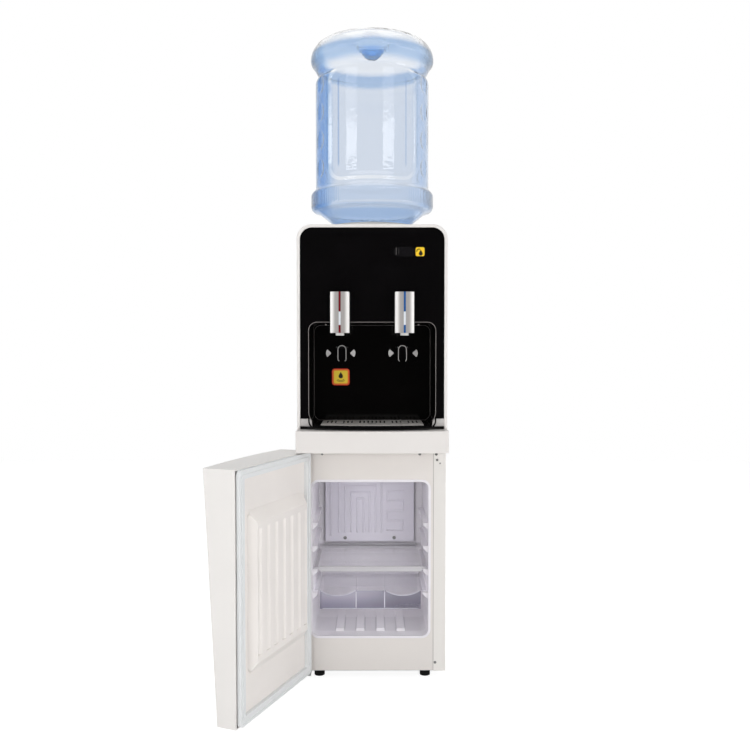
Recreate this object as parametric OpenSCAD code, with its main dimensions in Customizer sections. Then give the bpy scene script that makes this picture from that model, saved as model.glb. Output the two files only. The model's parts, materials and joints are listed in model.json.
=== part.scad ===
// Free-standing hot and cold water cooler: a bottle on top, two taps over a niche,
// and a small refrigerator cabinet with a wedge-shaped door below.
// X runs to the right, Y to the back, Z up. The origin is on the floor under the middle of the cabinet.

/* [Cabinet] */
// Width over the side panels
body_w = 306; // [290:1:330]
// Depth of the side panels
body_d = 330; // [320:1:360]
// Thickness of the sheet steel
sheet_t = 1; // [0.8:0.1:1.2]
// Corner radius along the top edges
top_r = 30; // [20:1:35]
// Width of the side panels' front return flange
flange_w = 25; // [20:1:25]
// Height of the fridge compartment's steel ceiling
mid_z = 484; // [478:1:492]
// Room behind the cavity for foam and condenser
back_room = 92; // [86:1:104]
// Distance of the condenser's pipes from the cabinet's sides
condenser_in = 43; // [36:1:60]

/* [Feet] */
// Height of a foot, which is the gap under the cabinet
foot_h = 18; // [14:1:24]
// Radius of a foot's rubber pad
foot_r = 11; // [9:0.5:13]
// Distance of a foot's axis from the cabinet's side
foot_in_x = 41; // [34:1:50]
// Distance of a foot's axis from the cabinet's front and back
foot_in_y = 28; // [24:1:36]

/* [Fridge cavity] */
// Mean thickness of the foamed side walls
side_wall = 32; // [30:0.5:38]
// Height of the cavity
cav_h = 324; // [310:1:340]
// Sideways offset of the cavity from the cabinet's middle
cav_x = -4; // [-5:0.5:-2]
// Height of the cavity floor
cav_z = 92; // [86:1:100]
// Corner radius of the cavity
cav_r = 14; // [8:1:20]
// Wall thickness of the liner
liner_t = 2; // [1.5:0.1:2.5]
// Width of the liner's lip round the opening
lip_w = 5; // [3:0.5:6]
// Height of the compressor step at the back of the floor
step_h = 66; // [56:1:70]
// Depth of the compressor step
step_d = 44; // [36:1:48]
// Number of shelf ledges on each side
ledge_n = 4; // [3:1:4]
// Distance between two ledges
ledge_pitch = 49; // [44:1:52]
// Height of the lowest ledge's top over the cavity floor
ledge_low = 89; // [84:1:94]
// Width of a ledge
ledge_w = 10; // [8:1:12]
// Number of ribs on the cavity floor
floor_rib_n = 4; // [3:1:5]
// Height of these ribs
floor_rib_h = 4.5; // [2:0.5:5]
// Width of the evaporator plate
evap_w = 207; // [190:1:212]
// Distance of the evaporator plate above the shelf's trims
evap_lift = 4.7; // [3:0.1:12]

/* [Shelf and storage tray] */
// Thickness of the shelf's glass
glass_t = 3.5; // [3:0.5:5]
// Distance between the shelf and the cavity's back wall
shelf_back = 11; // [10:0.5:24]
// Height of the shelf's front and back trims
shelf_trim_h = 11; // [9:1:14]
// Distance between the storage tray and the compressor step
store_back = 12; // [10:0.5:24]
// Height of the storage tray
store_h = 37; // [30:1:44]
// Wall thickness of the storage tray
store_t = 2; // [1.5:0.1:3]

/* [Door] */
// Distance of the door's edges from the cabinet's sides
door_in = 6; // [5:0.5:9]
// Thickness of the door at its top
door_top_t = 65; // [55:1:75]
// Thickness of the door at its bottom
door_low_t = 39; // [30:1:50]
// How far the middle of the door's front bulges past its sides
door_bow = 8; // [4:1:12]
// Angle by which the door stands open
door_open = 112; // [90:1:114]
// Wall thickness of the door's outer shell
door_wall = 2.5; // [2:0.1:4]
// Distance of the hinge axis from the cabinet's side
pin_in = 12.7; // [12:0.1:14]
// Distance of the hinge axis from the cabinet's front
pin_out = 16.5; // [16:0.1:18]
// Radius of the hinge pins
pin_r = 3; // [2.5:0.1:3.5]
// Width of the gasket's band
gasket_w = 17; // [14:1:19]
// Thickness of the gasket
gasket_t = 8; // [6:0.5:9]
// Number of ribs on the door's inner panel
door_rib_n = 7; // [5:1:8]

/* [Waist] */
// Height of the waist moulding
waist_h = 44; // [36:1:52]
// Distance by which the waist stands out of the cabinet's front
waist_out = 74; // [66:1:84]
// Wall thickness of the white mouldings
shell_t = 3; // [2:0.5:3.5]

/* [Upper housing] */
// Distance by which the upper housing stands out of the cabinet's front
house_out = 32; // [26:1:40]
// Width of the white bezel round the fascia
bezel_w = 6.5; // [5:0.5:9]
// Thickness of the fascia
fascia_t = 4; // [3:0.5:5]
// Height of the front above the niche
head_h = 199.2; // [192:0.2:230]
// Height of the silver corner trims
trim_h = 18; // [14:1:24]

/* [Dispensing niche] */
// Width of the fascia beside the niche
niche_in = 19; // [18:0.5:26]
// Height of the niche's opening
niche_h = 214; // [190:1:224]
// Depth of the niche
niche_d = 100; // [80:1:102]
// How much the niche narrows to its back on each side
niche_draft = 3; // [1:0.5:4]
// Wall thickness of the niche
niche_t = 2; // [1.5:0.1:3]
// Width of the rim round the niche
niche_rim = 3; // [2:0.5:4]

/* [Taps] */
// Width of a tap
tap_w = 37.5; // [34:0.5:46]
// Height of a tap
tap_h = 81.6; // [76:0.2:90]
// How far a tap hangs below the niche's top
tap_drop = 20.8; // [14:0.2:28]
// Distance by which a tap stands out of the fascia
tap_out = 45; // [36:1:55]
// Distance of a tap from the middle
tap_x = 64.5; // [58:0.5:70]
// Outer radius of a spout
spout_r = 8.5; // [7:0.5:10]
// Bore radius of a spout
spout_bore = 5; // [4:0.5:6]
// Width of a push paddle
paddle_w = 21; // [18:1:26]
// Height of a push paddle
paddle_h = 34; // [28:1:40]
// Depth of the paddles' hinge axis below the niche's top
paddle_drop = 50; // [44:1:58]

/* [Drip tray] */
// Height of the drip tray
tray_h = 7; // [6:0.5:9]
// Distance between the drip grille's sides and the niche's
grille_in = 23.5; // [21:0.5:32]
// Number of slots in the drip grille on each side of its middle
grille_slots = 11; // [7:1:12]

/* [Bottle] */
// Radius of the bottle's two rings
ring_r = 135.5; // [128:0.5:138]
// Radius of the bottle's body
bottle_r = 125; // [118:0.5:127]
// Wall thickness of the bottle
bottle_t = 2; // [1.5:0.1:3]
// Radius of the dimple in the bottle's upturned base
nub_r = 33; // [28:1:40]
// Depth of that dimple
nub_h = 34; // [20:1:40]
// Radius of the bottle's neck
neck_r = 27.5; // [25:0.5:28.5]
// Distance of the bottle's axis in front of the cabinet's middle
bottle_fwd = 10; // [0:1:20]
// Width of a grip panel pressed into the bottle
panel_w = 190; // [160:1:200]
// Depth of a grip panel
panel_in = 5.5; // [3:0.5:7]
// Depth of the round finger dents in the bottle's flanks
dent_in = 3; // [1.5:0.5:4]
// Distance between two finger dents
dent_pitch = 60; // [50:1:62]
// Radius of the groove between the bottle's body and its upper ring
notch_r = 117; // [112:0.5:120]

/* [Collar] */
// Width of the collar's rim round the bottle's shoulder
collar_rim = 13.5; // [11:0.5:18]
// Height of the collar over the deck
collar_h = 18; // [12:1:22]
// Inner radius of the collar's throat
throat_r = 36; // [34:1:40]

/* [Tanks] */
// Radius of the cold tank
cold_r = 80; // [70:1:82]
// Height of the cold tank's floor over the niche
cold_lift = 19.3; // [19:0.1:30]
// Radius of the hot tank
hot_r = 50; // [44:1:54]
// Height of the hot tank
hot_h = 160; // [130:1:170]

/* [Hidden] */
$fn = 48;

// Clearance between pieces that move past each other
gap = 0.4;
// Radial clearance of a pin in its bore
fit = 0.05;
// Small step by which a cut runs past a face
eps = 1;

front_y = -body_d / 2;
back_y = body_d / 2;
side_x = body_w / 2;
in_x = side_x - sheet_t;
plate_front = front_y - sheet_t;

// Cavity of the fridge
cav_w = body_w - 2 * side_wall;
cav_d = body_d - back_room;
cav_back = front_y + cav_d;
step_front = cav_back - step_d;
step_top = cav_z + step_h;
foam_t = 30;
foam_back = cav_back + liner_t + foam_t;
bay_front = step_front + liner_t + 21;
bay_z = step_top - liner_t - 23;
ledge_front = front_y + 10;
ledge_l = cav_d - 58;
ledge_t = 5;
ledge_drop = 13;
shelf_ledge = 1;
shelf_z = cav_z + ledge_low + shelf_ledge * ledge_pitch + 0.3;
shelf_front = front_y + 12;
shelf_d = cav_back - shelf_back - shelf_front;
store_z = cav_z + ledge_low + 0.3;
store_front = front_y + 14;
store_d = step_front - store_back - store_front;
evap_t = 2;
evap_off = 12;
evap_x = cav_x - 2;
evap_z = shelf_z + glass_t + 1.5 + evap_lift;
evap_h = cav_z + cav_h - 4 - evap_z;
evap_front = cav_back - evap_off;

// Door in its closed place
waist_z = mid_z + 1.5;
door_w = body_w - 2 * door_in;
door_back = front_y - 9;
door_z0 = foot_h + 2;
door_z1 = waist_z - 2.5;
door_h = door_z1 - door_z0;
door_lean = atan((door_top_t - door_low_t) / door_h);
door_bow_r = (pow(door_w / 2, 2) + pow(door_bow, 2)) / (2 * door_bow);
door_corner = 12;
pin_x = -side_x + pin_in;
pin_y = front_y - pin_out;
gasket_in = 5;
gasket_face = plate_front - gap;
bush_r = 5.5;
bush_h = 12;
bracket_t = 2;

// Waist and upper housing
waist_top = waist_z + waist_h;
waist_bow_r = (pow(side_x, 2) + pow(door_bow, 2)) / (2 * door_bow);
niche_z = waist_top + niche_t + 0.3;
niche_top = niche_z + niche_h;
body_h = niche_top + head_h;
house_front = front_y - house_out;
house_back = plate_front - 0.3;
fascia_front = house_front + 1;
fascia_w = body_w - 2 * bezel_w;
fascia_r = top_r - bezel_w + 1;
fascia_z0 = waist_top + 3.5;
fascia_z1 = body_h - bezel_w;

// Niche
niche_w = fascia_w - 2 * niche_in;
niche_r = 15;
niche_back = house_front + niche_d;
rim_front = house_front - 0.5;
tap_z = niche_top - tap_drop;
paddle_axis_z = niche_top - paddle_drop;
paddle_axis_y = niche_back - 9;
paddle_t = 3.5;
paddle_pin_r = 1.5;
paddle_eye = 3;

// Display and key
key_w = 18;
key_r = 3.5;
key_x = fascia_w / 2 - 49.6;
key_z = body_h - 55.5;
window_w = 42;
window_x = key_x - key_w / 2 - window_w / 2 - 1.8;

// Drip tray and grille
tray_z = niche_z + 0.3;
tray_top = tray_z + tray_h;
tray_bow = 26;
tray_front_y = house_front - 30;
tray_front_w = body_w - 14;
tray_bow_r = (pow(tray_front_w / 2, 2) + pow(tray_bow, 2)) / (2 * tray_bow);
tray_back = niche_back - 5;
grille_w = niche_w - 2 * grille_in;
grille_t = 1.2;

// Bottle, neck down; heights are above the deck
by = -bottle_fwd;
seat_slope = 40;
shoulder_z = body_h + 47;
seat_drop = tan(seat_slope);
neck_z = shoulder_z - (ring_r - 17.5 - neck_r) * seat_drop;
neck_len = 38;
neck_low = neck_z - neck_len;
ring_low = shoulder_z + 12;
ring_low_h = 26;
body_low = ring_low + ring_low_h + 16;
body_len = 238;
body_high = body_low + body_len;
ring_high = body_high + 32;
bottle_top = ring_high + 51;
top_round = 41;
panel_h = 226;
cap_t = 2;
collar_top = body_h + collar_h;
seat_r = ring_r - 17.5 - (shoulder_z - collar_top) / seat_drop;
collar_r = seat_r + collar_rim;
throat_z = neck_low - 12;

// Tanks
cold_z = niche_top + cold_lift;
cold_h = throat_z - 5 - cold_z;
jacket_t = 22;
shelf_plate_z = cold_z - 14;
pipe_z = cold_z + 10;
pipe_r = 6;
hot_y = back_y - 105;
hot_z = mid_z + 22;
hot_pipe_x = 35 - side_x;

// Compressor bay
comp_x = 115 - side_x;
comp_y = (bay_front + back_y) / 2;
comp_r = 49;
comp_z = foot_h + 12;

// Rear pieces
rear_y = back_y - 2 * sheet_t;
drain_z = hot_z + 16;
drain_r = 8;
switch_x = side_x - 53;
switch_z = mid_z + 80;
switch_w = 22;
switch_h = 30;
switch_gap = 40;
inlet_x = 48 - side_x;
inlet_z = mid_z + 40;

// Rounded rectangle around the origin
module rrect(w, h, r) {
    square([w - 2 * r, h], center = true);
    square([w, h - 2 * r], center = true);
    for (x = [-1, 1], y = [-1, 1]) translate([x * (w / 2 - r), y * (h / 2 - r)]) circle(r);
}

// Upright plate whose outline lies in the XZ plane, from y0 to y1
module xz_plate(y0, y1) {
    translate([0, y1, 0]) rotate([90, 0, 0]) linear_extrude(y1 - y0) children();
}

// Bar along X whose outline lies in the YZ plane, from x0 to x1
module yz_bar(x0, x1) {
    translate([x0, 0, 0]) rotate([90, 0, 90]) linear_extrude(x1 - x0) children();
}

// Box given by its two corners
module block(x0, x1, y0, y1, z0, z1) {
    translate([x0, y0, z0]) cube([x1 - x0, y1 - y0, z1 - z0]);
}

// Rod along X, Y or Z
module rod_x(x0, x1, y, z, r) { translate([x0, y, z]) rotate([0, 90, 0]) cylinder(h = x1 - x0, r = r); }
module rod_y(x, y0, y1, z, r) { translate([x, y0, z]) rotate([-90, 0, 0]) cylinder(h = y1 - y0, r = r); }
module rod_z(x, y, z0, z1, r) { translate([x, y, z0]) cylinder(h = z1 - z0, r = r); }

// Quarter bend of a pipe in its own XY plane, from the X axis to the Y axis
module bend(r_bend, r_pipe) {
    rotate_extrude(angle = 90) translate([r_bend, 0]) circle(r_pipe);
}

// Plan of a bowed front: flat back at y_back, the middle of the front at y_front
module bowed_plan(w, y_front, y_back, r_bow, r_corner) {
    intersection() {
        translate([0, (y_front + y_back) / 2 + r_corner]) rrect(w, y_back - y_front + 2 * r_corner, r_corner);
        translate([0, y_front + r_bow]) circle(r_bow, $fn = 180);
    }
}

foot_places = [for (x = [-1, 1], y = [-1, 1]) [x * (side_x - foot_in_x), y * (back_y - foot_in_y)]];
grommet_places = [for (x = [-1, 1], y = [-1, 1]) [comp_x + x * 52, comp_y + y * 30]];

// Bottom tray of folded sheet, with the weld nuts that take the feet
module base_pan() color("silver") difference() {
    union() {
        block(-in_x, in_x, front_y + sheet_t, back_y - 2 * sheet_t, foot_h, foot_h + sheet_t);
        for (s = [-1, 1]) block(min(s * in_x, s * (in_x - sheet_t)), max(s * in_x, s * (in_x - sheet_t)),
            bay_front + sheet_t, back_y - 2 * sheet_t, foot_h, foot_h + 26);
        block(-in_x, in_x, back_y - 3 * sheet_t, back_y - 2 * sheet_t, foot_h, foot_h + 26);
        for (p = foot_places) translate([p[0], p[1], foot_h]) cylinder(h = 7, r = 8, $fn = 6);
    }
    for (p = foot_places) rod_z(p[0], p[1], foot_h - eps, foot_h + 9, 4.1);
    for (p = grommet_places) rod_z(p[0], p[1], foot_h - eps, foot_h + 2 * sheet_t, 3);
    for (i = [0:5]) block(side_x - 91 + i * 11, side_x - 86 + i * 11, bay_front + 12, back_y - 14, foot_h - eps, foot_h + 2 * sheet_t);
}

// Four screwed feet with rubber pads
module feet() color("#151515") for (p = foot_places) translate([p[0], p[1], 0]) {
    cylinder(h = foot_h - 8, r = foot_r);
    translate([0, 0, foot_h - 8]) cylinder(h = 3, r1 = foot_r, r2 = foot_r + 1);
    translate([0, 0, foot_h - 5]) cylinder(h = 5, r = foot_r + 1);
    translate([0, 0, foot_h]) cylinder(h = 12, r = 4);
}

// Holes for the countersunk screws of the cabinet's front, as [x, z, radius]
screw_places = [[side_x - 20, mid_z - 10, 3], [side_x - 18, mid_z - 22, 2.6], [side_x - 12, mid_z - 29, 1.6],
    [side_x - 21.5, foot_h + 18, 3], [-side_x + 49, mid_z - 10, 2.4], [side_x - 54, mid_z - 10, 3]];
screw_l = 9;

module screw_bores(extra) {
    for (s = screw_places) rod_y(s[0], plate_front - eps, front_y + screw_l + 2, s[1], s[2] + extra);
}

// Side panel with its front and rear return flanges; low_flange is the lower front flange's width
module side_panel(low_flange) color("#e9e7e6") difference() {
    union() {
        block(in_x, side_x, front_y, back_y, foot_h, body_h - top_r);
        block(side_x - low_flange, side_x, plate_front, front_y, foot_h, waist_z);
        block(side_x - 12, side_x, plate_front, front_y, waist_z, body_h - top_r);
        block(side_x - 14, in_x, back_y - sheet_t, back_y, foot_h, body_h - top_r);
        block(side_x - 14, side_x - 14 + sheet_t, back_y - 14, back_y, bay_z + 2, mid_z);
    }
    children();
}

module side_panel_right() side_panel(flange_w) screw_bores(0);
module side_panel_left() mirror([1, 0, 0]) side_panel(flange_w - 8);

// Steel front of the foamed cabinet, with the opening for the liner
module cabinet_front() color("#e4e2e0") difference() {
    block(-in_x, in_x, front_y, front_y + sheet_t, foot_h + sheet_t, mid_z);
    xz_plate(front_y - eps, front_y + sheet_t + eps) translate([cav_x, cav_z + cav_h / 2])
        rrect(cav_w + 2 * liner_t, cav_h + 2 * liner_t, cav_r + liner_t);
    screw_bores(0);
}

// Folded sheet behind the foam, round the compressor bay
module cabinet_back() color("#b9bcbe") {
    block(-in_x, in_x, foam_back, foam_back + sheet_t, bay_z - sheet_t, mid_z);
    block(-in_x, in_x, bay_front, foam_back, bay_z - sheet_t, bay_z);
    block(-in_x, in_x, bay_front, bay_front + sheet_t, foot_h + sheet_t, bay_z - sheet_t);
    for (x = [-1, 1], z = [0, 1]) rod_y(x * 95, foam_back + sheet_t, condenser_y - 2.5,
        condenser_z0 + 15 + z * (condenser_h - 30), 5);
}

// Foam between the sheets and the liner
module insulation() color("#e8dfb8") difference() {
    union() {
        block(-in_x, in_x, front_y + sheet_t, foam_back, bay_z, mid_z);
        block(-in_x, in_x, front_y + sheet_t, bay_front, foot_h + sheet_t, bay_z);
    }
    cavity(liner_t);
    for (p = foot_places) rod_z(p[0], p[1], foot_h, foot_h + 16, 12);
    screw_bores(0.1);
}

// Room inside the liner, grown by t on every wall
module cavity(t) {
    difference() {
        xz_plate(front_y - eps, cav_back + t) translate([cav_x, cav_z + cav_h / 2])
            rrect(cav_w + 2 * t, cav_h + 2 * t, cav_r + t);
        yz_bar(cav_x - cav_w, cav_x + cav_w) polygon([[step_front + t, cav_z - 20], [step_front + t, step_top - 16 - t],
            [step_front + 16 + t, step_top - t], [cav_back + 20, step_top - t], [cav_back + 20, cav_z - 20]]);
    }
}

// Vacuum-formed liner: walls, lip, ledges, floor ribs and the bosses behind the evaporator
module fridge_liner() color("#bdbac3") {
    difference() {
        union() {
            intersection() {
                cavity(liner_t);
                block(-in_x, in_x, front_y, back_y, 0, body_h);
            }
            xz_plate(plate_front, front_y) translate([cav_x, cav_z + cav_h / 2])
                rrect(cav_w + 2 * lip_w, cav_h + 2 * lip_w, cav_r + lip_w);
        }
        cavity(0);
    }
    for (i = [0:ledge_n - 1], s = [-1, 1]) ledge(s, cav_z + ledge_low + i * ledge_pitch);
    for (x = [-1, 1], z = [0, 1]) rod_y(evap_x + x * (evap_w / 2 - 46), evap_front + evap_t, cav_back,
        evap_z + 8 + z * (evap_h - 16), 6);
    rib_pitch = cav_w * 0.178;
    for (i = [0:floor_rib_n - 1]) translate([cav_x + (i - (floor_rib_n - 1) / 2) * rib_pitch, 0, cav_z])
        yz_bar(-9, 9) polygon([[front_y + 30, 0], [front_y + 36, floor_rib_h], [step_front - 10, floor_rib_h],
            [step_front - 4, 0]]);
}

// One ledge along a side wall, flat on top and chamfered below
module ledge(s, z) {
    wall = cav_x + s * cav_w / 2;
    xz_plate(ledge_front, ledge_front + ledge_l) translate([wall, z]) polygon([[0, 0], [-s * ledge_w, 0],
        [-s * ledge_w, -ledge_t], [-s * 2, -ledge_drop], [0, -ledge_drop]]);
}

// Roll-bonded plate with its raised refrigerant channels
loop = (evap_h - 80) / 4;
module evaporator_plate() color("#c3bfca") difference() {
    union() {
        block(evap_x - evap_w / 2, evap_x + evap_w / 2, evap_front, evap_front + evap_t, evap_z, evap_z + evap_h);
        channel(12, 14, 12, evap_h - 18);
        channel(12, evap_h - 18, evap_w - 12, evap_h - 18);
        for (k = [0:3]) {
            channel(32 + 14 * k, 22, 32 + 14 * k, evap_h - 29 - 14 * k);
            channel(32 + 14 * k, evap_h - 29 - 14 * k, evap_w - 76 - 14 * k, evap_h - 29 - 14 * k);
            channel(evap_w - 76 - 14 * k, 22, evap_w - 76 - 14 * k, evap_h - 29 - 14 * k);
        }
        for (i = [0:4]) channel(evap_w - 62, 26 + i * loop, evap_w - 26, 26 + i * loop);
        for (i = [0:3]) channel(evap_w - (i % 2 == 0 ? 26 : 62), 26 + i * loop,
            evap_w - (i % 2 == 0 ? 26 : 62), 26 + (i + 1) * loop);
    }
    for (x = [-1, 1]) rod_y(evap_x + x * (evap_w / 2 - 46), evap_front - eps, evap_front + 3, evap_z + 8, 2);
}

// Raised channel on the evaporator between two points, upright or level
module channel(x0, z0, x1, z1) {
    r = 2.4;
    translate([evap_x - evap_w / 2, evap_front + 0.4, evap_z]) {
        if (x0 == x1) rod_z(x0, 0, z0, z1, r);
        else rod_x(x0, x1, 0, z0, r);
        for (p = [[x0, z0], [x1, z1]]) translate([p[0], 0, p[1]]) sphere(r);
    }
}

// Countersunk screws, flush with the cabinet's front, and the two pan-head screws of the evaporator
module screws() color("#77787a") {
    for (s = screw_places)
        rod_y(s[0], s[0] > side_x - flange_w ? plate_front : front_y, front_y + screw_l, s[1], s[2] - 0.1);
    for (x = [-1, 1]) translate([evap_x + x * (evap_w / 2 - 46), evap_front, evap_z + 8]) {
        rotate([90, 0, 0]) cylinder(h = 1.2, r = 4);
        translate([0, -1.2, 0]) rotate([90, 0, 0]) cylinder(h = 0.8, r1 = 4, r2 = 2.6);
        rotate([-90, 0, 0]) cylinder(h = evap_t, r = 1.9);
    }
}

// Steel hinge brackets above and below the door
module hinge_brackets() color("#8f9396") difference() {
    union() {
        block(-side_x + 2, -side_x + 26, pin_y - 8, plate_front - 0.2, door_z1 + 0.6, waist_z - 0.1);
        block(-side_x + 2, -side_x + 26, plate_front - 0.2 - bracket_t, plate_front - 0.2, door_z1 + 0.6, waist_z + 26);
        block(-side_x + 2, -side_x + 26, pin_y - 8, front_y + 46, foot_h - bracket_t, foot_h);
    }
    rod_z(pin_x, pin_y, 0, body_h, pin_r);
}

module hinge_pins() color("#6f7377") {
    rod_z(pin_x, pin_y, door_z1 - bush_h + 1, waist_z - 0.1, pin_r);
    rod_z(pin_x, pin_y, foot_h - bracket_t, door_z0 + bush_h - 1, pin_r);
}

module mid_plate() color("#b9bcbe") difference() {
    block(-in_x, in_x, front_y + sheet_t, rear_y, mid_z, mid_z + sheet_t);
    for (x = [-60, 60]) rod_z(x, -60, mid_z - eps, mid_z + 3, 12);
}

module waist_plan(t) {
    bowed_plan(body_w - 2 * t, plate_front - waist_out + sheet_t - door_bow + t, house_back, waist_bow_r, door_corner);
}

// White moulding between the niche and the door, open at its back
module waist_moulding() color("#ebe8e6") difference() {
    translate([0, 0, waist_z]) linear_extrude(waist_h) intersection() {
        waist_plan(0);
        translate([-side_x, -body_d]) square([body_w, body_d + house_back]);
    }
    difference() {
        translate([0, 0, waist_z + shell_t]) linear_extrude(waist_h - 2 * shell_t) waist_plan(shell_t);
        for (x = [-70, 0, 70]) block(x - 1, x + 1, -body_d, house_back, waist_z, waist_top);
    }
    block(-side_x + 1.5, -side_x + 26.5, house_back - 3, 0, waist_z - eps, waist_z + 30);
}

// Front outline of the housing, square at the bottom and rounded at the top
module arch_outline(w, z0, z1, r) {
    translate([-w / 2, z0]) square([w, z1 - z0 - r]);
    translate([-w / 2 + r, z0]) square([w - 2 * r, z1 - z0]);
    for (x = [-1, 1]) translate([x * (w / 2 - r), z1 - r]) circle(r);
}

// White bezel round the fascia, with the ledge on which the fascia seats
module upper_housing() color("#f0eeed") difference() {
    xz_plate(house_front, house_back) arch_outline(body_w, waist_top, body_h, top_r);
    xz_plate(house_front - eps, fascia_front + fascia_t) arch_outline(fascia_w, waist_top - eps, fascia_z1, fascia_r);
    xz_plate(fascia_front, house_back + eps)
        arch_outline(fascia_w - 6, waist_top - eps, fascia_z1 - 3, fascia_r - 3);
}

// Outline of the niche's opening grown by t
module niche_outline(t) {
    translate([0, niche_z + niche_h / 2]) rrect(niche_w + 2 * t, niche_h + 2 * t, niche_r + t);
}

// Glossy black front with its cut-outs
module front_fascia() color("#0d0d0f") difference() {
    xz_plate(fascia_front, fascia_front + fascia_t) arch_outline(fascia_w - 0.6, fascia_z0, fascia_z1 - 0.3, fascia_r - 0.3);
    xz_plate(fascia_front - eps, fascia_front + fascia_t + eps) {
        niche_outline(niche_rim - 0.5);
        for (x = [-1, 1]) translate([x * fascia_w / 2, fascia_z0]) square([2 * (fascia_w - niche_w) / 2 + 8, 2 * trim_h], center = true);
        for (x = [-1, 1]) translate([x * tap_x, pipe_z]) circle(pipe_r + 1);
        translate([key_x, key_z]) rrect(key_w + 2 * gap, key_w + 2 * gap, key_r + gap);
        translate([window_x, key_z]) rrect(window_w - 2, key_w - 2, 8);
    }
    children();
}

// Tapered black tub of the niche, with its rim in front of the fascia
module niche_shell() color("#0a0a0b") {
    difference() {
        niche_tub(niche_t);
        niche_tub(0);
    }
    difference() {
        xz_plate(rim_front, fascia_front) niche_outline(niche_rim);
        xz_plate(house_front - eps, fascia_front + eps) niche_outline(0);
        block(-side_x, side_x, house_front - eps, fascia_front + eps, 0, niche_z);
    }
}

module niche_tub(t) {
    d = niche_back - fascia_front + t;
    mid = niche_z + niche_h / 2;
    grow = t > 0 ? 0 : eps;
    back_w = niche_w - 2 * niche_draft;
    translate([0, fascia_front - grow, mid]) rotate([-90, 0, 0])
        linear_extrude(d + grow, scale = [(back_w + 2 * t) / (niche_w + 2 * t), 1], slices = 1, $fn = 40)
            rrect(niche_w + 2 * t, niche_h + 2 * t, niche_r + t);
}

// Silver trims in the lower corners of the fascia
module corner_trims() color("#b9b9bb") difference() {
    for (x = [-1, 1]) block(x > 0 ? niche_w / 2 - 8 : -fascia_w / 2 + 0.3, x > 0 ? fascia_w / 2 - 0.3 : -niche_w / 2 + 8,
        house_front - 0.2, fascia_front + fascia_t, fascia_z0, fascia_z0 + trim_h - 0.3);
    xz_plate(house_front - eps, fascia_front + fascia_t + eps) niche_outline(niche_rim + 0.3);
}

module display_window() color("#1b1b1e") union() {
    xz_plate(fascia_front - 0.6, fascia_front) translate([window_x, key_z]) rrect(window_w, key_w, 9);
    xz_plate(fascia_front, fascia_front + 2) translate([window_x, key_z]) rrect(window_w - 2.4, key_w - 2.4, 7.8);
}

// Square key that unlocks the hot tap
module lock_key() color("#e8c02a") {
    xz_plate(fascia_front - 2.5, fascia_front + 6) translate([key_x, key_z]) rrect(key_w, key_w, key_r);
    rod_y(key_x, fascia_front + 6, fascia_front + 10, key_z, 3);
}

// Plan of a tap cover around its own middle, open at the back
module tap_plan(t) {
    r_bow = (pow(tap_w / 2, 2) + 25) / 10;
    intersection() {
        translate([0, fascia_front - tap_out / 2 + 10]) rrect(tap_w - 2 * t, tap_out + 20, 3);
        translate([0, fascia_front - tap_out + t + r_bow]) circle(r_bow, $fn = 96);
        translate([-tap_w, fascia_front - tap_out]) square([2 * tap_w, tap_out]);
    }
}

strip_w = 4.2;
module tap_covers() color("#d9d9d8") for (s = [-1, 1]) translate([s * tap_x, 0, 0]) difference() {
    translate([0, 0, tap_z]) linear_extrude(tap_h) tap_plan(0);
    translate([0, 0, tap_z - eps]) linear_extrude(tap_h - 2) tap_plan(2.5);
    block(-strip_w / 2, strip_w / 2, -body_d, fascia_front - tap_out + 1.2, tap_z - eps, tap_z + tap_h + eps);
    block(-tap_w, tap_w, rim_front - 0.3, fascia_front + eps, tap_z - eps, niche_top + niche_rim + 0.3);
}

// Coloured strip let into the front of a tap
module tap_strip(s) {
    block(s * tap_x - strip_w / 2 + 0.1, s * tap_x + strip_w / 2 - 0.1, fascia_front - tap_out,
        fascia_front - tap_out + 1.2, tap_z, tap_z + tap_h);
}
module hot_tap_strip() color("#7c2d33") tap_strip(-1);
module cold_tap_strip() color("#4f7396") tap_strip(1);

// Valve inside a tap: spout, body and the tail through the fascia
module tap_valve(s) color("#c9c9c8") translate([s * tap_x, 0, 0]) {
    y = fascia_front - tap_out / 2 - 4;
    difference() {
        union() {
            rod_z(0, y, tap_z - 5, tap_z + 18, spout_r);
            rod_z(0, y, tap_z + 18, pipe_z + 12, spout_r + 3);
            rod_y(0, y, fascia_front + fascia_t + 8, pipe_z, pipe_r + 0.5);
        }
        rod_z(0, y, tap_z - 5 - eps, pipe_z, spout_bore);
        rod_y(0, y, fascia_front + fascia_t + 8 + eps, pipe_z, 3.5);
    }
    rod_y(0, fascia_front - 4, fascia_front, pipe_z, pipe_r + 6);
}
module hot_tap_valve() tap_valve(-1);
module cold_tap_valve() tap_valve(1);

// Ears on the niche's back wall that carry the paddles' pins
module paddle_brackets() color("#141416") for (s = [-1, 1]) translate([s * tap_x, 0, paddle_axis_z]) difference() {
    union() {
        block(-paddle_w / 2 - 4, paddle_w / 2 + 4, niche_back - 2.5, niche_back, -8, 8);
        for (e = [-1, 1]) ear_block(e);
    }
    rod_x(-paddle_w, paddle_w, paddle_axis_y, 0, paddle_pin_r);
}
module ear_block(e) {
    x = e * (paddle_w / 2 + 2.25);
    block(x - 1.75, x + 1.75, paddle_axis_y, niche_back - 2.5, -paddle_eye, paddle_eye);
    rod_x(x - 1.75, x + 1.75, paddle_axis_y, 0, paddle_eye);
}

module paddle_pins() color("#9a9da0") for (s = [-1, 1])
    rod_x(s * tap_x - paddle_w / 2 - 4, s * tap_x + paddle_w / 2 + 4, paddle_axis_y, paddle_axis_z, paddle_pin_r);

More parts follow.
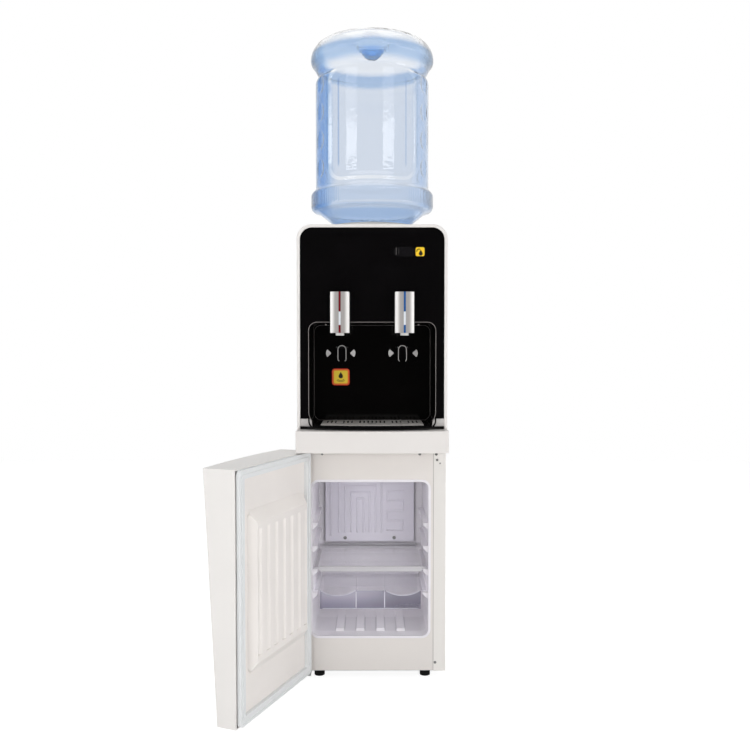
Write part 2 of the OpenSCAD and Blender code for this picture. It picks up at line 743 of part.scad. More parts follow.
// Arched paddle that a cup pushes back; its rim stands proud of its face
module paddle(s) color("#26262a") translate([s * tap_x, 0, 0]) difference() {
    union() {
        xz_plate(paddle_axis_y - paddle_t / 2, paddle_axis_y + paddle_t / 2) paddle_outline(0);
        difference() {
            xz_plate(paddle_axis_y - paddle_t / 2 - 1.2, paddle_axis_y) paddle_outline(0);
            xz_plate(paddle_axis_y - paddle_t / 2 - 1.2 - eps, paddle_axis_y) paddle_outline(2);
        }
        rod_x(-paddle_w / 2 + 0.2, paddle_w / 2 - 0.2, paddle_axis_y, paddle_axis_z, paddle_eye);
    }
    rod_x(-paddle_w, paddle_w, paddle_axis_y, paddle_axis_z, paddle_pin_r + fit);
}
module paddle_outline(t) {
    r = paddle_w / 2 - 0.2;
    top = paddle_axis_z + paddle_eye + 2;
    translate([0, top - r]) circle(r - t);
    translate([0, top - paddle_h / 2 - r / 2]) square([2 * (r - t), paddle_h - r - 8], center = true);
    translate([0, top - paddle_h + 4 + t / 2]) square([2 * (r - 4 - t / 2), 8 - t], center = true);
    for (x = [-1, 1]) translate([x * (r - 4), top - paddle_h + 4]) circle(4 - t);
}
module hot_paddle() paddle(-1);
module cold_paddle() paddle(1);

module tray_front_plan(t) {
    intersection() {
        translate([0, tray_front_y + tray_bow_r]) circle(tray_bow_r - t, $fn = 180);
        translate([-tray_front_w / 2 + t, -body_d]) square([tray_front_w - 2 * t, body_d + rim_front - gap]);
    }
}

// Drip tray: a basin in the niche and a bowed lip in front of the fascia
module drip_tray() color("#101012") difference() {
    union() {
        translate([0, 0, waist_top + 0.3]) linear_extrude(tray_z - waist_top + 3.2) tray_front_plan(0);
        translate([0, 0, tray_z]) linear_extrude(tray_h) tray_basin(0);
        translate([0, 0, tray_top - 2.5]) linear_extrude(2.5) tray_basin(-12);
    }
    translate([0, 0, tray_z + 1.6]) linear_extrude(tray_h) tray_basin(2.5);
    translate([0, 0, tray_top - grille_t - 0.3]) linear_extrude(tray_h) tray_basin(0.9);
}
module tray_basin(t) {
    w = grille_w + 3;
    intersection() {
        translate([0, tray_front_y + 3 + tray_bow_r + t]) circle(tray_bow_r, $fn = 180);
        translate([-w / 2 + t, -body_d]) square([w - 2 * t, body_d + tray_back - max(t, 0)]);
        translate([0, tray_back - 100 - max(t, 0)]) rrect(w - 2 * t, 200, 12);
    }
}

// Steel grille with rows of slots and three finger holes
module drip_grille() color("#c8c8c6") difference() {
    translate([0, 0, tray_top - grille_t]) linear_extrude(grille_t + 0.8) tray_basin(1.3);
    translate([0, 0, tray_top - grille_t - eps]) linear_extrude(grille_t + 0.2 + eps) difference() {
        tray_basin(3.3);
        square(0.1, center = true);
    }
    for (i = [-grille_slots:grille_slots]) if (abs(i % 4) != 0 || i == 0) grille_slot(i);
    for (i = [-1, 0, 1]) translate([i * 66, house_front + 16, 0]) linear_extrude(body_h) rrect(21, 12, 5.9);
}
module grille_slot(i) {
    x = i * (grille_w - 22) / (2 * grille_slots);
    translate([x, house_front + 54, 0]) linear_extrude(body_h) rrect(3, 56, 1.4);
}

// Deck and skirts of the top, with the hole for the collar
module top_cover() color("#f0eeed") difference() {
    union() {
        intersection() {
            xz_plate(house_back, back_y) arch_outline(body_w, body_h - top_r - 10, body_h, top_r);
            block(-side_x, side_x, house_back, back_y, body_h - top_r, body_h);
        }
        block(-in_x + 0.2, in_x - 0.2, front_y + 0.2, back_y - sheet_t - 0.2, body_h - top_r - 10, body_h - top_r);
    }
    xz_plate(house_back - eps, back_y - shell_t) arch_outline(body_w - 2 * shell_t, body_h - top_r - 20,
        body_h - shell_t, top_r - shell_t);
    rod_z(0, by, body_h - 10, body_h + 10, collar_r + 3);
}

// Height of the bottle's shoulder cone at radius r
function cone_z(r) = shoulder_z - (ring_r - 17.5 - r) * seat_drop;

// Funnel that carries the bottle's shoulder and guides its neck
module bottle_collar() color("#f3f1f0") translate([0, by, 0]) rotate_extrude($fn = 96) {
    seat = collar_top - gap;
    polygon([[collar_r + 14, body_h], [collar_r + 14, body_h + 2], [collar_r, body_h + 3], [collar_r, collar_top - 3],
        [collar_r - 3, collar_top - 0.3], [seat_r + 1, collar_top - 0.3], [seat_r - 1, seat - 1.5],
        [throat_r + 3, cone_z(throat_r + 3) - 2 * gap - 3], [throat_r, cone_z(throat_r) - 2 * gap - 7], [throat_r, throat_z],
        [throat_r + 3, throat_z], [throat_r + 3, cone_z(throat_r) - 12], [collar_r - 3, cone_z(collar_r - 5) - 14],
        [collar_r - 3, body_h]]);
}

// Pointed feed tube that opens the bottle's cap, on three spokes in the throat
module water_probe() color("#e2e3e4") translate([0, by, 0]) difference() {
    union() {
        rod_z(0, 0, throat_z + 1, neck_low + 40, 9);
        translate([0, 0, neck_low + 40]) cylinder(h = 14, r1 = 9, r2 = 3);
        for (a = [0:120:240]) rotate([0, 0, a]) block(0, throat_r - 0.1, -2, 2, throat_z + 1, throat_z + 5);
    }
    rod_z(0, 0, throat_z, neck_low + 30, 6);
    for (a = [0, 90]) rotate([0, 0, a]) rod_x(-12, 12, 0, neck_low + 24, 3);
}

// Half outline of the bottle's outer skin, taken in by t; it stands neck down
function arc(cx, cz, r, a0, a1, n) = [for (i = [0:n]) let (a = a0 + (a1 - a0) * i / n) [cx + r * cos(a), cz + r * sin(a)]];
function bottle_outline(t) = concat(
    [[0, neck_low - (t > 0 ? 1 : 0)], [neck_r - t, neck_low - (t > 0 ? 1 : 0)], [neck_r - t, cone_z(neck_r)],
        [ring_r - 17.5 - t, shoulder_z]],
    arc(ring_r - 12 - t, ring_low + 2, 12, -60, 0, 5),
    arc(ring_r - 12 - t, ring_low + ring_low_h - 2, 12, 0, 50, 4),
    [[bottle_r - t, body_low - 1], [bottle_r - t, body_high - 6], [notch_r - t, body_high + 2],
        [notch_r - t, body_high + 6]],
    arc(ring_r - 16 - t, ring_high + 10, 16, -50, 0, 5),
    arc(ring_r - top_round - t, bottle_top - top_round - t, top_round, 8, 90, 8),
    [[nub_r + 3 + t / 2, bottle_top - t], [nub_r + t, bottle_top - 5 - t / 2],
        [nub_r - 20 + t, bottle_top - nub_h - t / 2], [0, bottle_top - nub_h - t]]);

module bottle_form(t) difference() {
    rotate_extrude($fn = 120) polygon(bottle_outline(t));
    for (a = [0, 180]) rotate([0, 0, a]) difference() {
        translate([0, 0, body_high - panel_h / 2 + 24]) rotate([90, 0, 0]) linear_extrude(2 * bottle_r)
            rrect(panel_w + 2 * t, panel_h + 2 * t, 30 + t);
        translate([0, 0, body_low - 60]) cylinder(h = body_len + 120, r = bottle_r - panel_in - t, $fn = 120);
    }
    for (a = [64, 116, -64, -116], i = [0:3]) rotate([0, 0, a])
        translate([0, dent_in - bottle_r - 40, body_low + 37 + i * dent_pitch]) sphere(40 + t);
}

// Returnable bottle with two rings and two grip panels
module bottle() color("#b7cbe9", 0.6) translate([0, by, 0]) difference() {
    bottle_form(0);
    bottle_form(bottle_t);
}

module bottle_cap() color("#dfe7f2") translate([0, by, 0]) difference() {
    rod_z(0, 0, neck_low - cap_t, neck_low + 20, neck_r + 2.2);
    rod_z(0, 0, neck_low, neck_low + 30, neck_r + fit);
    rod_z(0, 0, neck_low - 3, neck_low + 3, 10.5);
}

// Stainless cold tank under the throat
module cold_tank() color("#c4c7ca") translate([0, by, 0]) difference() {
    union() {
        rod_z(0, 0, cold_z, cold_z + cold_h, cold_r);
        rod_z(0, 0, cold_z + cold_h, throat_z + 6, throat_r + 6);
    }
    rod_z(0, 0, cold_z + 1.5, cold_z + cold_h - 1.5, cold_r - 1.5);
    rod_z(0, 0, cold_z + cold_h - 2, throat_z + 12, throat_r + 3.2);
    translate([tap_x, -by, 0]) rod_y(0, -cold_r, 0, pipe_z, pipe_r);
}

module cold_tank_jacket() color("#dcd8d0") translate([0, by, 0]) difference() {
    rod_z(0, 0, shelf_plate_z + sheet_t, cold_z + cold_h, cold_r + jacket_t);
    rod_z(0, 0, cold_z, cold_z + cold_h + 1, cold_r);
    translate([tap_x, -by, 0]) rod_y(0, -cold_r - 60, 0, pipe_z, pipe_r);
}

// Steel bracket that carries the cold tank between the side panels
module tank_shelf() color("#b9bcbe") difference() {
    union() {
        block(-in_x, in_x, niche_back + niche_t + 2, hot_y + 35, shelf_plate_z, shelf_plate_z + sheet_t);
        for (x = [-in_x, in_x - sheet_t])
            block(x, x + sheet_t, niche_back + niche_t + 2, hot_y + 35, shelf_plate_z - 20, shelf_plate_z);
    }
    rod_z(hot_pipe_x, hot_y, shelf_plate_z - 5, shelf_plate_z + 5, pipe_r + 2);
}

// Hot tank on its skirt
module hot_tank() color("#c4c7ca") translate([0, hot_y, 0]) difference() {
    union() {
        rod_z(0, 0, hot_z, hot_z + hot_h, hot_r);
        translate([0, 0, hot_z + hot_h]) cylinder(h = 10, r1 = hot_r, r2 = 20);
        rod_z(0, 0, mid_z + sheet_t, hot_z, hot_r - 6);
    }
    rod_z(0, 0, hot_z + 1.5, hot_z + hot_h - 1.5, hot_r - 1.5);
    rod_z(0, 0, mid_z, hot_z - 1.5, hot_r - 8);
    rod_y(0, 0, hot_r + 10, drain_z, drain_r - 3);
    rod_x(-hot_r - 10, 0, 0, hot_z + hot_h - 20, pipe_r);
}

module heater_band() color("#8d7f6a") translate([0, hot_y, hot_z + 60]) difference() {
    union() {
        cylinder(h = 34, r = hot_r + 3);
        block(-8, 8, -hot_r - 12, -hot_r + 4, 6, 28);
    }
    translate([0, 0, -1]) cylinder(h = 40, r = hot_r);
}

// Silicone pipes from the tanks to the taps and to the drain
module water_pipes() color("#d8d6cf") {
    tail = fascia_front + fascia_t + 8;
    hot_out = hot_z + hot_h - 20;
    far_x = hot_pipe_x;
    b = 12;
    difference() {
        rod_y(tap_x, tail, by - sqrt(pow(cold_r - 1.5, 2) - pow(tap_x, 2)) + 6, pipe_z, pipe_r - 0.1);
        rod_y(tap_x, tail - 1, by, pipe_z, 3.5);
    }
    translate([-tap_x - b, tail + 6, pipe_z]) bend(b, pipe_r - 0.1);
    rod_y(-tap_x, tail, tail + 6, pipe_z, pipe_r - 0.1);
    rod_x(far_x + b, -tap_x - b, tail + 6 + b, pipe_z, pipe_r - 0.1);
    translate([far_x + b, tail + 6 + 2 * b, pipe_z]) rotate([0, 0, 180]) bend(b, pipe_r - 0.1);
    rod_y(far_x, tail + 6 + 2 * b, hot_y - b, pipe_z, pipe_r - 0.1);
    translate([far_x, hot_y - b, pipe_z - b]) rotate([90, 0, 90]) bend(b, pipe_r - 0.1);
    rod_z(far_x, hot_y, hot_out + b, pipe_z - b, pipe_r - 0.1);
    translate([far_x + b, hot_y, hot_out + b]) rotate([90, 180, 0]) bend(b, pipe_r - 0.1);
    rod_x(far_x + b, -hot_r + 1, hot_y, hot_out, pipe_r - 0.1);
    difference() {
        union() {
            rod_y(0, hot_y + hot_r - 1, back_y + 14, drain_z, drain_r - 3.1);
            rod_y(0, rear_y + sheet_t, back_y + 14, drain_z, drain_r);
        }
        rod_y(0, hot_y + hot_r - 2, back_y + 15, drain_z, 3);
    }
}

// Cap over the drain outlet
module drain_cap() color("#e6e6e4") difference() {
    union() {
        rod_y(0, back_y + 3, back_y + 17, drain_z, drain_r + 3.5);
        for (a = [0:30:330]) translate([0, 0, drain_z]) rotate([0, a, 0]) rod_y(drain_r + 3.3, back_y + 4, back_y + 16, 0, 1);
    }
    rod_y(0, back_y + 2, back_y + 14 + gap, drain_z, drain_r + gap);
}

// Upper rear panel with its louvres and the holes for switches, inlet and drain
module rear_panel() color("#d8d8d7") difference() {
    union() {
        block(-in_x, in_x, rear_y, rear_y + sheet_t, mid_z + sheet_t, body_h - top_r - 10.5);
        for (i = [0:7], x = [-60, 60]) louvre(x, body_h - 90 - i * 16);
    }
    for (i = [0:7], x = [-60, 60])
        block(x - 38, x + 38, rear_y - 1, rear_y + sheet_t + 0.6, body_h - 97 - i * 16, body_h - 92 - i * 16);
    for (i = [0, 1]) block(switch_x - switch_w / 2, switch_x + switch_w / 2, rear_y - 1, rear_y + 3,
        switch_z + i * switch_gap - switch_h / 2, switch_z + i * switch_gap + switch_h / 2);
    rod_y(inlet_x, rear_y - 1, rear_y + 3, inlet_z, 8);
    rod_y(0, rear_y - 1, rear_y + 3, drain_z, drain_r - 3);
}
module louvre(x, z) {
    yz_bar(x - 40, x + 40) polygon([[rear_y + sheet_t / 2, z - 6], [rear_y + 2 * sheet_t + 1.6, z - 6],
        [rear_y + sheet_t, z + 4], [rear_y + sheet_t / 2, z + 4]]);
}

// Frames of the two rocker switches
module rear_switches() color("#1a1a1c") for (i = [0, 1]) translate([switch_x, 0, switch_z + i * switch_gap]) {
    difference() {
        xz_plate(rear_y - 12, rear_y + sheet_t + 1.5) rrect(switch_w - 0.4, switch_h - 0.4, 1);
        xz_plate(rear_y - 8, rear_y + 4) rrect(switch_w - 5, switch_h - 5, 0.6);
    }
    difference() {
        xz_plate(rear_y + sheet_t, rear_y + sheet_t + 1.5) rrect(switch_w + 4, switch_h + 4, 2);
        xz_plate(rear_y - 1, rear_y + 4) rrect(switch_w - 5, switch_h - 5, 0.6);
    }
    for (x = [-1, 1]) rod_x(x > 0 ? switch_w / 2 - 4 : -switch_w / 2 + 2.5, x > 0 ? switch_w / 2 - 2.5 : -switch_w / 2 + 4,
        rear_y - 2, 0, 1.5);
}

// Rocker that tips in its frame; it rests with its lower end pressed
rocker_tip = 7;
module rocker(i) translate([switch_x, rear_y - 2, switch_z + i * switch_gap]) rotate([-rocker_tip, 0, 0]) difference() {
    yz_bar(-switch_w / 2 + 3, switch_w / 2 - 3) intersection() {
        translate([-3.5, -11]) square([9, 22]);
        polygon([[-3.5, -5], [-3.5, 5], [3.6, 10.6], [5.5, 10.6], [3.4, 0], [5.5, -10.6], [3.6, -10.6]]);
    }
    for (x = [-1, 1]) rod_x(x > 0 ? switch_w / 2 - 4.4 : -switch_w / 2, x > 0 ? switch_w / 2 : -switch_w / 2 + 4.4, 0, 0, 1.5 + fit);
}
module cold_switch_rocker() color("#2c6a3a") rocker(0);
module hot_switch_rocker() color("#a32a22") rocker(1);

// Cable inlet of the mains lead
module power_inlet() color("#19191b") difference() {
    union() {
        rod_y(inlet_x, rear_y - 6, back_y + 3, inlet_z, 7.8);
        translate([inlet_x, rear_y + sheet_t, inlet_z]) rotate([-90, 0, 0]) cylinder(h = 5, r = 12, $fn = 6);
    }
    rod_y(inlet_x, rear_y - 7, back_y + 4, inlet_z, 3.6);
}

// Board behind the display, on four posts
module control_board() color("#2f6b3c") {
    y = fascia_front + fascia_t + 14;
    block(key_x - 64, key_x + 26, y, y + 1.6, key_z - 26, key_z + 22);
    for (x = [key_x - 60, key_x + 22], z = [key_z - 22, key_z + 18]) rod_y(x, fascia_front + fascia_t, y, z, 2.5);
    for (i = [0:2]) block(key_x - 54 + i * 24, key_x - 38 + i * 24, y + 1.6, y + 14, key_z - 20, key_z - 4);
}

// Sealed compressor on its foot plate
module compressor() color("#222426") translate([comp_x, comp_y, 0]) {
    z0 = comp_z + 3;
    shell_h = bay_z - z0 - 12;
    difference() {
        translate([0, 0, comp_z]) linear_extrude(3) rrect(122, 78, 8);
        for (x = [-1, 1], y = [-1, 1]) rod_z(x * 52, y * 30, comp_z - 1, comp_z + 4, 3);
    }
    translate([0, 0, z0]) rotate_extrude() polygon(concat([[0, 0], [comp_r - 12, 0]], arc(comp_r - 12, 12, 12, -60, 0, 4),
        [[comp_r, shell_h * 0.45], [comp_r + 3, shell_h * 0.45], [comp_r + 3, shell_h * 0.45 + 3], [comp_r - 1, shell_h * 0.45 + 3]],
        arc(comp_r - 25, shell_h - 24, 24, 0, 80, 7), [[0, shell_h]]));
    block(comp_r - 4, comp_r + 14, -16, 16, z0 + 16, z0 + 50);
}

module compressor_mounts() color("#1b1b1b") for (p = grommet_places) translate([p[0], p[1], 0]) difference() {
    union() {
        rod_z(0, 0, foot_h + sheet_t, comp_z, 9);
        rod_z(0, 0, comp_z, comp_z + 6, 2.9);
        rod_z(0, 0, comp_z + 3, comp_z + 6, 6);
    }
    rod_z(0, 0, foot_h, comp_z + 2, 2);
}

// Wire-on-tube condenser with the pipe down to the compressor bay
condenser_y = foam_back + 20;
condenser_w = body_w - 2 * condenser_in;
condenser_z0 = bay_z + 24;
condenser_h = mid_z - 27 - condenser_z0;
module condenser() color("#1f2123") {
    r = 2.4;
    runs = floor((condenser_h - 30) / 36 / 2) * 2 + 1;
    for (i = [0:runs]) rod_x(-condenser_w / 2, condenser_w / 2, condenser_y, condenser_z0 + 15 + i * 36, r);
    for (i = [0:runs - 1]) translate([(i % 2 == 0 ? 1 : -1) * condenser_w / 2, condenser_y, condenser_z0 + 33 + i * 36])
        rotate([90, 0, 0]) rotate([0, 0, i % 2 == 0 ? 0 : 180]) {
            bend(18, r);
            rotate([0, 0, -90]) bend(18, r);
        }
}

// Upright wires on the condenser, held at their ends by two flat bars
module condenser_wires() color("#1f2123") {
    y = condenser_y + 2.5;
    pitch = (condenser_w - 10) / 12;
    for (i = [-6:6]) rod_z(i * pitch, y + 0.8, condenser_z0, condenser_z0 + condenser_h, 0.8);
    for (z = [0, 1]) block(-6 * pitch - 2, 6 * pitch + 2, y + 0.6, y + 1.6, condenser_z0 + z * (condenser_h - 4), condenser_z0 + 4 + z * (condenser_h - 4));
}

module filter_drier() color("#b4713c") {
    x = side_x - 69;
    y = comp_y + 6;
    rod_z(x, y, foot_h + 40, foot_h + 92, 9);
    translate([x, y, foot_h + 92]) cylinder(h = 8, r1 = 9, r2 = 2.5);
    translate([x, y, foot_h + 32]) rotate([0, 0, 0]) cylinder(h = 8, r1 = 2.5, r2 = 9);
    rod_z(x, y, foot_h + sheet_t, foot_h + 32, 2.5);
    rod_z(x, y, foot_h + 100, bay_z - sheet_t, 2.5);
}

// Glass shelf with its front and back trims
module shelf() color("#cfd2da") {
    w = cav_w - 5;
    y0 = shelf_front;
    difference() {
        translate([cav_x, y0 + shelf_d / 2, shelf_z + glass_t / 2]) cube([w, shelf_d - 2, glass_t], center = true);
        for (y = [y0 + 3, y0 + shelf_d - 11]) block(cav_x - w, cav_x + w, y, y + 0.001, 0, 1);
    }
    for (y = [y0, y0 + shelf_d - 8]) shelf_trim(y, w - 2 * ledge_w - 2);
}
module shelf_trim(y, w) {
    difference() {
        translate([cav_x, y + 4, shelf_z + glass_t + 1.5 - shelf_trim_h / 2]) rotate([0, 90, 0]) translate([0, 0, -w / 2])
            linear_extrude(w) rrect(shelf_trim_h, 8, 2);
        translate([cav_x, y + 4, shelf_z + glass_t / 2]) cube([w + 2, 12, glass_t], center = true);
    }
}

// Clear tray with three cells, hung by its flanges on the lowest ledges
module storage_tray() color("#8f8ba6", 0.7) {
    w = cav_w - 2 * ledge_w - 8;
    x0 = cav_x - w / 2;
    y0 = store_front;
    wall = [x0 + 0.36 * w, x0 + 0.64 * w];
    top = store_z;
    difference() {
        union() {
            translate([cav_x, y0 + store_d / 2, top - store_h]) linear_extrude(store_h + 2) rrect(w, store_d, 6);
            block(cav_x - cav_w / 2 + 2.5, cav_x + cav_w / 2 - 2.5, y0 + 10, y0 + store_d - 10, top, top + 2);
        }
        store_cell(x0 + store_t, wall[0] - 1, y0, top);
        store_cell(wall[0] + 1, wall[1] - 1, y0, top);
        store_cell(wall[1] + 1, x0 + w - store_t, y0, top);
        for (c = [[x0, wall[0]], [wall[1], x0 + w]]) translate([(c[0] + c[1]) / 2, 0, top + 62])
            rod_y(0, y0 - 1, y0 + store_t + 1, 0, 70);
    }
}
module store_cell(x0, x1, y0, top) {
    translate([(x0 + x1) / 2, y0 + store_d / 2, top - store_h + store_t]) linear_extrude(store_h + 5)
        rrect(x1 - x0, store_d - 2 * store_t, 4);
}

// Turns the closed door's pieces to where they stand open
module opened() {
    translate([pin_x, pin_y, 0]) rotate([0, 0, -door_open]) translate([-pin_x, -pin_y, 0]) children();
}

// Solid wedge of the door, taken in by t on its front, sides, top and bottom
module door_wedge(t) {
    y_top = door_back - door_top_t - door_bow;
    intersection() {
        translate([0, y_top, door_z1]) rotate([door_lean, 0, 0]) translate([0, -y_top, -door_h - 40])
            linear_extrude(door_h + 80) bowed_plan(door_w - 2 * t, y_top + t, door_back + 60, door_bow_r, door_corner - t);
        block(-door_w / 2 - 2, door_w / 2 + 2, y_top - 20, door_back - (t > 0 ? -2 : 0), door_z0 + t, door_z1 - t);
    }
}

bush_places = [door_z0, door_z1 - bush_h];
module bush_bores(r) {
    for (z = bush_places) rod_z(pin_x, pin_y, z - eps, z + bush_h + eps, r);
}

// White outer shell of the door
module door_shell() color("#eceae8") opened() difference() {
    union() {
        difference() {
            door_wedge(0);
            door_wedge(door_wall);
        }
        for (z = bush_places) intersection() {
            door_wedge(0);
            union() {
                rod_z(pin_x, pin_y, z, z + bush_h, bush_r + 3);
                block(-door_w / 2, pin_x + bush_r + 3, pin_y, door_back, z, z + bush_h);
            }
        }
    }
    bush_bores(bush_r);
    block(-door_w / 2 + 6, door_w / 2 - 6, door_back - 2, door_back + 3, door_z0 + 6, door_z1 - 6);
}

// Inner panel: a plateau with upright ribs that reaches into the cavity
module door_panel() color("#eeeae8") opened() {
    plate_w = door_w - 12.6;
    plate_z = (door_z0 + door_z1) / 2;
    difference() {
        xz_plate(door_back - 1.9, door_back) translate([0, plate_z]) rrect(plate_w, door_h - 12.6, 4);
        bush_bores(bush_r + 0.1);
    }
    difference() {
        intersection() {
            xz_plate(door_back, front_y + 8) translate([cav_x, cav_z + cav_h / 2]) rrect(cav_w - 24, cav_h - 24, 16);
            yz_bar(-side_x, side_x) door_plateau_side();
            linear_extrude(body_h) door_plateau_plan();
        }
        for (i = [0:door_rib_n - 1]) door_groove(cav_x + (i - (door_rib_n - 1) / 2) * 31);
    }
}
module door_plateau_side() {
    lo = cav_z + 12;
    hi = cav_z + cav_h - 12;
    polygon([[door_back - 1, lo], [door_back, lo], [front_y + 8, lo + 22], [front_y + 8, hi - 22], [door_back, hi], [door_back - 1, hi]]);
}
module door_plateau_plan() {
    lo = cav_x - cav_w / 2 + 12;
    hi = cav_x + cav_w / 2 - 12;
    polygon([[lo, door_back - 1], [lo, door_back], [lo + 9, front_y + 8], [hi - 9, front_y + 8], [hi, door_back], [hi, door_back - 1]]);
}
module door_groove(x) {
    translate([x, front_y + 8 + 9, 0]) rod_z(0, 0, cav_z + 46, cav_z + cav_h - 46, 12);
}

// Magnetic gasket with its bellows groove
module door_gasket() color("#ccd3d4") opened() translate([0, 0, (door_z0 + door_z1) / 2]) difference() {
    xz_plate(door_back, gasket_face) rrect(door_w - 2 * gasket_in, door_h - 3, 8);
    xz_plate(door_back - eps, gasket_face + eps)
        rrect(door_w - 2 * gasket_in - 2 * gasket_w, door_h - 3 - 2 * gasket_w, 4);
    difference() {
        xz_plate(gasket_face - 1.5, gasket_face + eps) rrect(door_w - 2 * gasket_in - 10, door_h - 13, 5);
        xz_plate(gasket_face - 2, gasket_face + eps) rrect(door_w - 2 * gasket_in - 18, door_h - 21, 4);
    }
}

module door_bushes() color("#c9c6bd") opened() difference() {
    for (z = bush_places) rod_z(pin_x, pin_y, z, z + bush_h, bush_r);
    rod_z(pin_x, pin_y, 0, body_h, pin_r + fit);
}

base_pan();
feet();
side_panel_left();
side_panel_right();
cabinet_front();
cabinet_back();
insulation();
fridge_liner();
evaporator_plate();
screws();
hinge_brackets();
hinge_pins();
mid_plate();
waist_moulding();
upper_housing();
front_fascia();
niche_shell();
corner_trims();
display_window();
lock_key();
tap_covers();
hot_tap_strip();
cold_tap_strip();
hot_tap_valve();
cold_tap_valve();
paddle_brackets();
paddle_pins();
hot_paddle();
cold_paddle();
drip_tray();
drip_grille();
top_cover();
bottle_collar();
water_probe();
bottle();
bottle_cap();
cold_tank();
cold_tank_jacket();
tank_shelf();
hot_tank();
heater_band();
water_pipes();
drain_cap();
rear_panel();
rear_switches();
cold_switch_rocker();
hot_switch_rocker();
power_inlet();
control_board();
compressor();
compressor_mounts();
condenser();
condenser_wires();
filter_drier();
shelf();
storage_tray();
door_shell();
door_panel();
door_gasket();
door_bushes();
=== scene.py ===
import json
import math

import bmesh
import bpy
from mathutils import Matrix, Vector

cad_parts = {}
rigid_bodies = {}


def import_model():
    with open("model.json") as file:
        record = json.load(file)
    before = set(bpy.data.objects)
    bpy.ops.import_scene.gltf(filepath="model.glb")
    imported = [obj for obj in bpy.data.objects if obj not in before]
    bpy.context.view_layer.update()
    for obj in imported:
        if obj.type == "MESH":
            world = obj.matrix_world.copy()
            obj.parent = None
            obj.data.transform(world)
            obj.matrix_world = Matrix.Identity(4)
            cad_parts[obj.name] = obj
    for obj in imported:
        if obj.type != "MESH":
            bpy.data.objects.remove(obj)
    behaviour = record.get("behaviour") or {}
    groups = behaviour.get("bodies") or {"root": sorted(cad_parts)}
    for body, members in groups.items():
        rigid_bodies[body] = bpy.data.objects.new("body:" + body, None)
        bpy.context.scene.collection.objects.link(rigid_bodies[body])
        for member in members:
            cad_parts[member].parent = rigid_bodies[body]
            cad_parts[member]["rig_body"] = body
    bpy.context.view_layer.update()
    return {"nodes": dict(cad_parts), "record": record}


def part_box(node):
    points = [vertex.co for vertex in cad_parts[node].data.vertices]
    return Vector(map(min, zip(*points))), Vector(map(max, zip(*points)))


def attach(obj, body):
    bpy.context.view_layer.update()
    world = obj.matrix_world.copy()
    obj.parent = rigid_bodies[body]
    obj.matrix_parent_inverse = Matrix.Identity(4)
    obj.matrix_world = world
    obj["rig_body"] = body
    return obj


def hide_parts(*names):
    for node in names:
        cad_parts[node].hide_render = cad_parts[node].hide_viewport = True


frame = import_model()
nodes = frame["nodes"]
mm = 0.001
print("frame loaded:", len(nodes), "nodes")


# shader maths
class Term:  # a socket that can stand in a sum
    def __init__(self, paint, socket):
        self.paint, self.socket = paint, socket

    def sum(self, operation, *others):
        return self.paint.node("ShaderNodeMath", {"operation": operation}, [self, *others])

    def __add__(self, other):
        return self.sum("ADD", other)

    def __sub__(self, other):
        return self.sum("SUBTRACT", other)

    def __mul__(self, other):
        return self.sum("MULTIPLY", other)

    def __lt__(self, other):
        return self.sum("LESS_THAN", other)

    def __rsub__(self, other):
        return self.paint.node("ShaderNodeMath", {"operation": "SUBTRACT"}, [other, self])

    __radd__ = __add__
    __rmul__ = __mul__

    def __abs__(self):
        return self.sum("ABSOLUTE")

    def most(self, other):
        return self.sum("MAXIMUM", other)

    def least(self, other):
        return self.sum("MINIMUM", other)

    def band(self, low, high, ease):  # 1 from low to high, with soft ends
        return self.between(low - ease, low + ease) * (1 - self.between(high - ease, high + ease))

    def between(self, low, high):  # eases from 0 at low to 1 at high
        settings = {"interpolation_type": "SMOOTHSTEP"}
        return self.paint.node("ShaderNodeMapRange", settings, {"Value": self, "From Min": low, "From Max": high})


class Paint:  # one material and its node tree
    def __init__(self, name, **sockets):
        self.material = bpy.data.materials.new(name)
        self.material.use_nodes = True
        self.tree = self.material.node_tree
        self.shader = self.tree.nodes["Principled BSDF"]
        self.set(**{key.replace("_", " "): value for key, value in sockets.items()})

    def put(self, socket, value):
        if isinstance(value, Term):
            self.tree.links.new(value.socket, socket)
        else:
            socket.default_value = value

    def set(self, **sockets):
        for key, value in sockets.items():
            self.put(self.shader.inputs[key], value)

    def node(self, kind, settings=None, inputs=(), output=0):
        made = self.tree.nodes.new(kind)
        for key, value in (settings or {}).items():
            setattr(made, key, value)
        for key, value in inputs.items() if isinstance(inputs, dict) else enumerate(inputs):
            self.put(made.inputs[key], value)
        return Term(self, made.outputs[output])

    def place(self, scale=(1, 1, 1)):
        where = self.node("ShaderNodeTexCoord", output="Object")
        return self.node("ShaderNodeMapping", {}, {"Vector": where, "Scale": scale})

    def along(self, axis):
        return self.node("ShaderNodeSeparateXYZ", {}, {"Vector": self.place()}, output=axis)

    def noise(self, size, detail=2.0, stretch=(1, 1, 1), rough=0.5):
        return self.node("ShaderNodeTexNoise", {}, {"Vector": self.place(stretch), "Scale": 1 / (size * mm),
                                                    "Detail": detail, "Roughness": rough})

    def mix(self, amount, first, second):
        return self.node("ShaderNodeMix", {"data_type": "RGBA"}, {0: amount, 6: first, 7: second}, output=2)

    def bump(self, height, strength, depth):
        return self.node("ShaderNodeBump", {}, {"Height": height, "Strength": strength, "Distance": depth * mm})


def colour(red, green, blue):  # screen values of 0 to 255 as linear light
    def linear(value):
        value /= 255
        return value / 12.92 if value <= 0.04045 else ((value + 0.055) / 1.055) ** 2.4
    return (linear(red), linear(green), linear(blue), 1.0)


def tinted(base, factor):
    return tuple(min(1.0, c * factor) for c in base[:3]) + (1.0,)


